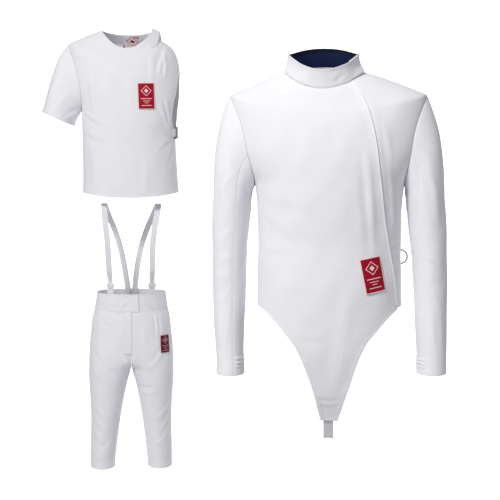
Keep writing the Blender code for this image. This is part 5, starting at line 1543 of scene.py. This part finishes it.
LEG_FOLDS = {
    # x and z of the start, the middle and the end, width and depth, all in mm
    ("front", -1): (
        (-112, -61, -112, -92, -108, -128, 4, 1.6),
        (-89, -61, -88, -86, -85, -120, 4, 1.4),
        (-116, -66, -90, -88, -60, -102, 6, 1.6),
        (-100, -62, -78, -80, -52, -86, 5, 1.1),
        (-30, -188, -22, -208, -8, -232, 6, 1.8),
        (-44, -205, -30, -232, -14, -249, 6, 1.2),
        (-118, -180, -96, -226, -52, -262, 9, 1.6),
        (-130, -250, -108, -290, -70, -312, 9, 1.2),
        (-128, -372, -108, -410, -78, -432, 8, 1.7),
        (-130, -410, -114, -452, -84, -480, 8, 1.3),
        (-128, -470, -112, -505, -86, -520, 8, 1.5),
        (-64, -500, -84, -530, -104, -552, 7, 1.1),
        (-52, -120, -56, -160, -50, -210, 9, 0.9),
    ),
    ("front", 1): (
        (79, -60, 84, -100, 88, -150, 4, 2.4),
        (10, -196, 14, -222, 26, -246, 6, 1.7),
        (20, -306, 46, -313, 76, -304, 6, 1.5),
        (30, -330, 54, -342, 90, -336, 8, 0.9),
        (112, -176, 92, -222, 50, -256, 9, 1.5),
        (136, -360, 116, -402, 84, -424, 8, 1.7),
        (134, -400, 118, -446, 86, -470, 8, 1.4),
        (130, -462, 112, -500, 82, -522, 8, 1.6),
        (66, -478, 84, -516, 108, -548, 7, 1.2),
        (110, -66, 92, -82, 70, -88, 5, 1.0),
        (40, -100, 46, -150, 40, -190, 9, 0.9),
    ),
    ("back", -1): (
        (-122, -90, -90, -112, -50, -110, 8, 1.5),
        (-20, -200, -40, -250, -80, -276, 9, 2.0),
        (-28, -240, -56, -280, -100, -296, 8, 1.5),
        (-128, -376, -96, -394, -58, -388, 7, 1.7),
        (-126, -408, -94, -420, -60, -426, 7, 1.3),
        (-70, -460, -90, -500, -96, -548, 9, 1.2),
    ),
    ("back", 1): (
        (120, -86, 86, -108, 46, -104, 8, 1.3),
        (18, -205, 44, -246, 86, -270, 9, 1.8),
        (26, -246, 60, -286, 102, -300, 8, 1.6),
        (132, -370, 98, -386, 58, -398, 7, 1.6),
        (128, -414, 92, -428, 62, -420, 7, 1.2),
        (74, -450, 86, -498, 90, -550, 9, 1.1),
    ),
}
LEG_MARKS = np.array((CUFF_TOP, CROTCH, -0.228, WAISTBAND_BOTTOM))
FLY_BOTTOM = -0.200


def leg_pieces():
    """A front, a back and a cuff for each leg. Fronts and backs lie between the middle and the side."""
    stations = through_marks(LEG_MARKS)
    for side, word in ((-1, "right"), (1, "left")):
        legs = Legs(side)
        for part, sign in (("front", 1), ("back", -1)):
            shares = end_shares(0.20)[None, :]
            angle = sign * legs.inner_angle(stations[:, None]) * (1 - shares)
            points = legs.point(angle, stations[:, None])[:, :: side * sign]
            lines = folds_on(lambda x, z: legs.spot(x / 1000, z / 1000, sign), LEG_FOLDS[part, side], 2.0)
            panel(f"breeches_{part}_{word}", BREECHES, points, seams_and_hem("seam"), lines)
        turn = np.linspace(0, 2 * math.pi, 110, endpoint=False) * side
        between = np.linspace(BREECHES_HEM + 0.003, -0.578, 9)
        heights = np.array([BREECHES_HEM, BREECHES_HEM + 0.0009, *between, -0.5762, CUFF_TOP - 0.0003])
        angle, station = np.meshgrid(turn, heights)
        panel(f"breeches_cuff_{word}", BREECHES, legs.point(-angle, station),
              {"bottom": 0.006, "top": "seam"}, ring=True, sway=0.0005)


def fly():
    """The fly's facing, a layer on the right front's own points beside the middle."""
    front = PIECES["breeches_front_right_fine"]
    stations = through_marks(LEG_MARKS)
    rows = slice(int(np.searchsorted(stations, FLY_BOTTOM)), -1)
    width = front["across"][rows, -1:] - front["across"][rows]
    first = int(np.searchsorted(-width.mean(axis=0), -0.030))
    points = front["outer"][rows, first:] + 0.0004 * front["normal"][rows, first:]
    panel("breeches_fly", BREECHES, points, {"left": 0.0035, "bottom": 0.0035, "right": 0.0035}, lift=0.0024,
          thick=0.0024, sway=0.0)


def waist_surface(turn, station):
    """The waistband's ring, by turn from the front to the wearer's left, on the two legs' top sections."""
    angle = math.pi / 2 - np.abs(np.arctan2(np.sin(turn), np.cos(turn)))
    on_left = (np.sin(turn) > 0)[..., None]
    return np.where(on_left, Legs(1).point(angle, station), Legs(-1).point(angle, station))


WAIST_FOLDS = (
    (-112, -50, -100, -32, -82, -16, 6, 2.7),
    (-96, -54, -84, -38, -66, -26, 5, 2.2),
    (-74, -52, -62, -34, -44, -24, 6, 2.0),
    (-40, -48, -24, -30, -6, -22, 6, 1.7),
    (34, -20, 46, -36, 66, -50, 6, 2.2),
    (60, -16, 78, -32, 98, -50, 6, 1.7),
)


def waistband():
    """Two bands that meet at the back. The right one laps over the left in front, by an eased lift."""
    legs = Legs(1)
    lap = math.pi / 2 - float(legs.angle_at(0.0225, 0.0))
    between = np.linspace(-0.0525, -0.0045, 14)
    heights = np.array([WAISTBAND_BOTTOM, -0.0572, -0.0558, *between, -0.002, -0.0008, 0])
    lines = folds_on(lambda x, z: legs.spot(x / 1000, z / 1000) * (math.copysign(1, x), 1, 1), WAIST_FOLDS)
    for side, first, last, stand in (("right", -math.pi, lap, CLOTH + 0.0006), ("left", -lap, math.pi, 0.0)):
        turn, station = np.meshgrid(np.linspace(first, last, 120), heights)
        points = waist_surface(turn, station)
        lift = stand * ease((turn + lap + 0.50) / 0.38)[..., None]
        edges = {"bottom": "seam", "top": 0.003, side: 0.004}
        panel(f"breeches_waistband_{side}", BREECHES, points + lift * grid_normals(points), edges, lines,
              sway=0.0005)


leg_pieces()
fly()
waistband()


def on_hip(across, up):
    """Places on the left hip, about a middle 110.5 mm from the middle plane."""
    legs, station = Legs(1), -0.1690 + up
    return legs.point(legs.angle_at(0.1105 + across - up * 0.05, station), station)


label_patch("breeches_label", BREECHES, on_hip, 0.0290, 0.0600, "red_label",
            "red satin label tape, woven narrow", "#5E081B", "#D9B4B9")

# %% [markdown]
# ## The braces
# Each brace begins in a tab behind the waistband, passes through a slide, goes over the shoulder and down
# to the middle of the back. The arch above the waist shows the strap as it stands over a wearer's
# shoulder.

# %% The braces
BRACE_PATH = (
    # x on the right, x on the left, y, z
    (0.0745, 0.0690, -0.088, 0.085), (0.0780, 0.0700, -0.097, 0.155), (0.0850, 0.0770, -0.088, 0.225),
    (0.0900, 0.0860, -0.062, 0.272), (0.0920, 0.0905, -0.025, 0.299), (0.0920, 0.0900, 0.012, 0.302),
    (0.0875, 0.0840, 0.048, 0.285), (0.0760, 0.0715, 0.080, 0.250), (0.0600, 0.0550, 0.096, 0.210),
    (0.0405, 0.0355, 0.102, 0.150), (0.0265, 0.0225, 0.097, 0.087), (0.0170, 0.0150, 0.085, 0.030),
)
BEHIND_BAND = 0.0012
BRACE_WIDTH, BRACE_TAB_WIDTH = 0.0195, 0.022


def brace(side, word, front_x):
    """One brace: the tab behind the waistband at this distance from the middle, the strap and its slide.
    The strap faces as the tab does at the slide and turns to its own upright normal above it."""
    legs = Legs(side)
    heights = np.array((-0.030, -0.015, 0.0))
    angle = np.full(3, float(legs.angle_at(front_x, 0.0)))
    across = legs.point(angle + 0.002, heights) - legs.point(angle - 0.002, heights)
    face = unit(np.stack([across[:, 1], -across[:, 0], 0 * heights], axis=1))
    face *= -np.sign(face[:, 1:2])
    behind = legs.point(angle, heights) - (CLOTH + BEHIND_BAND + WEBBING / 2) * face
    top = behind[-1]
    rise = np.array([[0.0, 0.0, z] for z in (0.010, 0.020, 0.029, 0.038)])
    tab = refined(np.concatenate([behind, top + rise]), 6)
    strap(f"brace_tab_{word}", BREECHES, tab, face[-1], BRACE_TAB_WIDTH, "elastic_webbing", BRACE_TAPE)
    step = (WEBBING + 0.0003) * face[-1]
    back_angle = -np.array([float(legs.angle_at(0.0125, 0.0))] * 2)
    inside_back = legs.point(back_angle, np.array((0.0, -0.030)))
    inside_back[:, 1] -= CLOTH + 2 * BEHIND_BAND + WEBBING / 2
    over = np.array([(side * (right if side < 0 else left), y, z) for right, left, y, z in BRACE_PATH])
    path = smooth_path(np.concatenate([top + step + rise[1:], over, inside_back]), 260)
    upright = unit(upright_normals(path))
    twist = 1 - ease((path[:, 2:] - 0.040) / 0.070)
    twist[len(path) // 2 :] = 0.0
    strap(f"brace_{word}", BREECHES, path, face[-1] * twist + upright * (1 - twist), BRACE_WIDTH,
          "elastic_webbing", BRACE_TAPE, ribs=7, columns=29)
    slide_frame(f"brace_slide_{word}", BREECHES, BRACE_SLIDE_SIZES,
                ((0.0, 0.0, 1.0), -face[-1], (face[-1][1], -face[-1][0], 0.0)), top + step / 2 + rise[2],
                WHITE_ACETAL)


brace(-1, "right", 0.0725)
brace(1, "left", 0.0700)

# %% [markdown]
# ## Stitches
# Lockstitches are 3 mm apart. Each is a small spindle that rises out of one needle hole and sinks into the
# next. A seam's line is read off a piece's finished grid at a given distance from one of its edges, and
# resampled to the pitch. All the stitches of a garment are one mesh: a spindle's template is copied by
# array broadcasting.

# %% Stitches
STITCH_PITCH, STITCH_LENGTH, STITCH_RADIUS = 0.0030, 0.0024, 0.00034


def edge_line(name, edge, inset):
    """Points and normals on a piece's outer face at a distance from an edge, interpolated along each row,
    or along each column for the top and the bottom."""
    piece = PIECES[name]
    points, normal, across, along = (piece[key] for key in ("outer", "normal", "across", "along"))
    if edge in ("bottom", "top"):
        points, normal, run = points.swapaxes(0, 1), normal.swapaxes(0, 1), along.T
    else:
        run = across
    if edge in ("right", "top"):
        points, normal, run = points[:, ::-1], normal[:, ::-1], run[:, -1:] - run[:, ::-1]
    keep = run[:, -1] > 2 * inset
    points, normal, run = points[keep], normal[keep], run[keep]
    at = np.clip((run < inset).sum(axis=1), 1, run.shape[1] - 1)
    pick = np.arange(len(run))
    share = ((inset - run[pick, at - 1]) / np.maximum(run[pick, at] - run[pick, at - 1], 1e-9))[:, None]
    line = points[pick, at - 1] * (1 - share) + points[pick, at] * share
    return line, normal[pick, at], piece["place"]


def stitches(line, normal, first=0.0, last=1.0):
    """Spindles along a line: each ring of the template is a circle about the stitch's own axis, of radius
    STITCH_RADIUS × the square root of sin(π × share), and the middle stands highest."""
    run = run_along(line)
    count = int(run[-1] * (last - first) / STITCH_PITCH)
    if count < 2:
        return np.zeros((0, 3)), np.zeros((0, 4), int)
    start = run[-1] * first + STITCH_PITCH * (np.arange(count) + 0.2)
    share = np.array([0.02, 0.2, 0.5, 0.8, 0.98])
    at = start[:, None] + STITCH_LENGTH * share
    centre, up = resampled(at, run, line), resampled(at, run, normal)
    side = unit(np.cross(unit(centre[:, -1:] - centre[:, :1]), up))
    arch = np.sin(math.pi * share)[None, :, None]
    centre = centre + up * (0.00030 * arch - 0.00012)
    a = np.linspace(0, 2 * math.pi, 6, endpoint=False)[None, None, :, None]
    radius = STITCH_RADIUS * np.sqrt(arch)[..., None]
    points = centre[:, :, None] + radius * (np.cos(a) * side[:, :, None] + np.sin(a) * up[:, :, None])
    caps = np.array([[3, 2, 1, 0], [5, 4, 3, 0], [24, 25, 26, 27], [24, 27, 28, 29]])
    one = np.concatenate([grid_quads(5, 6, round_columns=True), caps])
    faces = (one[None] + 30 * np.arange(count)[:, None, None]).reshape(-1, 4)
    return points.reshape(-1, 3), faces


def sew(name, lines):
    """One mesh of all the stitches on these lines: a piece, its edges, the distance from them, and the
    shares of the edge where the row starts and ends, if it doesn't run all along."""
    points, faces, made = [], [], 0
    for solid, edges, inset, *part in lines:
        for edge in edges.split():
            line, normal, place = edge_line(f"{solid}_fine", edge, inset)
            some, cells = stitches(line, normal, *part)
            if len(some):
                points.append(place(some))
                faces.append(cells + made)
                made += len(some)
    thread = mesh_object(name, np.concatenate(points), np.concatenate(faces), THREAD_WHITE)
    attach(thread, GARMENTS)
    print(f"{name}: {made // 30} stitches")


ALL_EDGES = "left right top bottom"
sew("jacket_stitches", [
    ("jacket_placket", "right", 0.0032), ("jacket_placket", "left", 0.0022),
    ("jacket_front", "left right", 0.0095, 0, 0.47),
    ("jacket_front", "bottom", 0.0095, 0.02, 0.98), ("jacket_front", "bottom", 0.0500, 0.02, 0.98),
    ("jacket_side_front", "bottom", 0.0115), ("jacket_back", "bottom", 0.0115),
    ("jacket_collar", "top", 0.0032), ("jacket_collar", "bottom", 0.0030), ("jacket_collar", "right", 0.0034),
    ("jacket_label", ALL_EDGES, 0.0009),
    *[(f"jacket_sleeve_{side}_{part}", "bottom", CUFF_HEM - 0.0015)
      for side in ("right", "left") for part in ("under", "upper")],
])
sew("protector_stitches", [
    ("protector_front", "bottom", 0.0115), ("protector_back", "bottom", 0.0115),
    ("protector_front", "top", 0.0185), ("protector_back", "top", 0.0185),
    ("protector_front", "right", 0.0075, 0.36, 0.93), ("protector_back", "left", 0.0075, 0.36, 0.93),
    ("protector_sleeve", "bottom", 0.0115), ("protector_label", ALL_EDGES, 0.0009),
    ("protector_shoulder_tab", "left right", 0.0030, 0.3, 1),
])
sew("breeches_stitches", [
    ("breeches_waistband_right", "top", 0.0028), ("breeches_waistband_left", "top", 0.0028),
    ("breeches_waistband_right", "bottom", 0.0035), ("breeches_waistband_left", "bottom", 0.0035),
    ("breeches_waistband_right", "right", 0.0036),
    ("breeches_cuff_right", "bottom", 0.0055), ("breeches_cuff_left", "bottom", 0.0055),
    ("breeches_cuff_right", "top", 0.0030), ("breeches_cuff_left", "top", 0.0030),
    ("breeches_fly", "left bottom", 0.0030),
])

# %% [markdown]
# ## The stage and the light
# A catalogue picture on white. The surround is a dim, even light, a soft light from the upper left in
# front shapes the cloth, and a weak one from behind on the right lifts its edges. The floor is pale, and
# behind it stands a white sweep, a sheet bent up by a quarter circle, which glows so that it shows as pure
# white. The view transform is the plain sRGB one, as a product photographer's would be, because a
# film-like one would turn that white to grey.

# %% The stage and the light
bpy.context.scene.view_settings.view_transform = "Standard"
bpy.context.scene.view_settings.look = "None"
WORLD_LIGHT = 0.33
FLOOR = -1.75
SWEEP_FRONT = 1.9
world = bpy.data.worlds.new("white studio")
bpy.context.scene.world = world
world.use_nodes = True
background = world.node_tree.nodes["Background"]
background.inputs["Color"].default_value = linear("#FBFBFF")
background.inputs["Strength"].default_value = WORLD_LIGHT


def stage_sheet(name, y, z, half_width, finish):
    """A profile of y and z drawn out in x: two points for each of its points, and quads between them."""
    x = np.array([-half_width, half_width])
    points = np.stack([np.tile(x, len(y)), np.repeat(y, 2), np.repeat(z, 2)], axis=1)
    row = 2 * np.arange(len(y) - 1)[:, None]
    made = mesh_object(name, points, row + np.array([[0, 1, 3, 2]]), finish)
    return made


def sweep(half_width, front, back, height, bend):
    """From the front edge along the floor, up a quarter circle and up the wall. A mix by the backfacing
    output makes it clear from behind, so that the backs of the garments can be looked at."""
    a = np.linspace(0, math.pi / 2, 24)
    y = np.concatenate([[front], back - bend + bend * np.sin(a), [back]])
    z = np.concatenate([[FLOOR], FLOOR + bend - bend * np.cos(a), [height]])
    white, shader = new_material("white studio paper, lit from behind", "#F7F7F8", 0.9)
    shader.inputs["Emission Color"].default_value = linear("#FFFFFF")
    shader.inputs["Emission Strength"].default_value = 0.9
    tree = white.node_tree
    side = add_node(tree, "NewGeometry")
    clear = add_node(tree, "BsdfTransparent")
    both = add_node(tree, "MixShader", {"Fac": side.outputs["Backfacing"], 1: shader.outputs["BSDF"],
                                        2: clear.outputs["BSDF"]})
    tree.links.new(both.outputs["Shader"], tree.nodes["Material Output"].inputs["Surface"])
    return stage_sheet("studio_sweep", y, z, half_width, white)


def soft_light(name, place, target, width, watts, colour):
    """A square area light at a place, turned so that its −Z axis points at the target."""
    data = bpy.data.lights.new(name, "AREA")
    data.shape, data.size, data.energy, data.color = "SQUARE", width, watts, linear(colour)[:3]
    lamp = bpy.data.objects.new(name, data)
    lamp.location = place
    way = np.array(target) - np.array(place)
    lamp.rotation_euler = (math.atan2(math.hypot(way[0], way[1]), -way[2]), 0.0, math.atan2(-way[0], way[1]))
    bpy.context.scene.collection.objects.link(lamp)
    return lamp


sweep(half_width=3.2, front=SWEEP_FRONT, back=4.2, height=2.4, bend=1.0)
stage_sheet("studio_floor", np.array([-5.0, SWEEP_FRONT]), np.array([FLOOR, FLOOR]), 5.0,
            mottled("pale studio floor, painted", "#E4E4E7", "#DFDFE3", 0.8, 0.12, 0.0002))
soft_light("key", (-1.7, -3.0, 2.7), (-0.25, 0.4, -0.4), 0.9, 156.0, "#FFFDFA")
soft_light("rim", (2.6, 2.2, 1.2), (-0.25, 0.5, -0.4), 1.6, 5.0, "#F6F8FF")
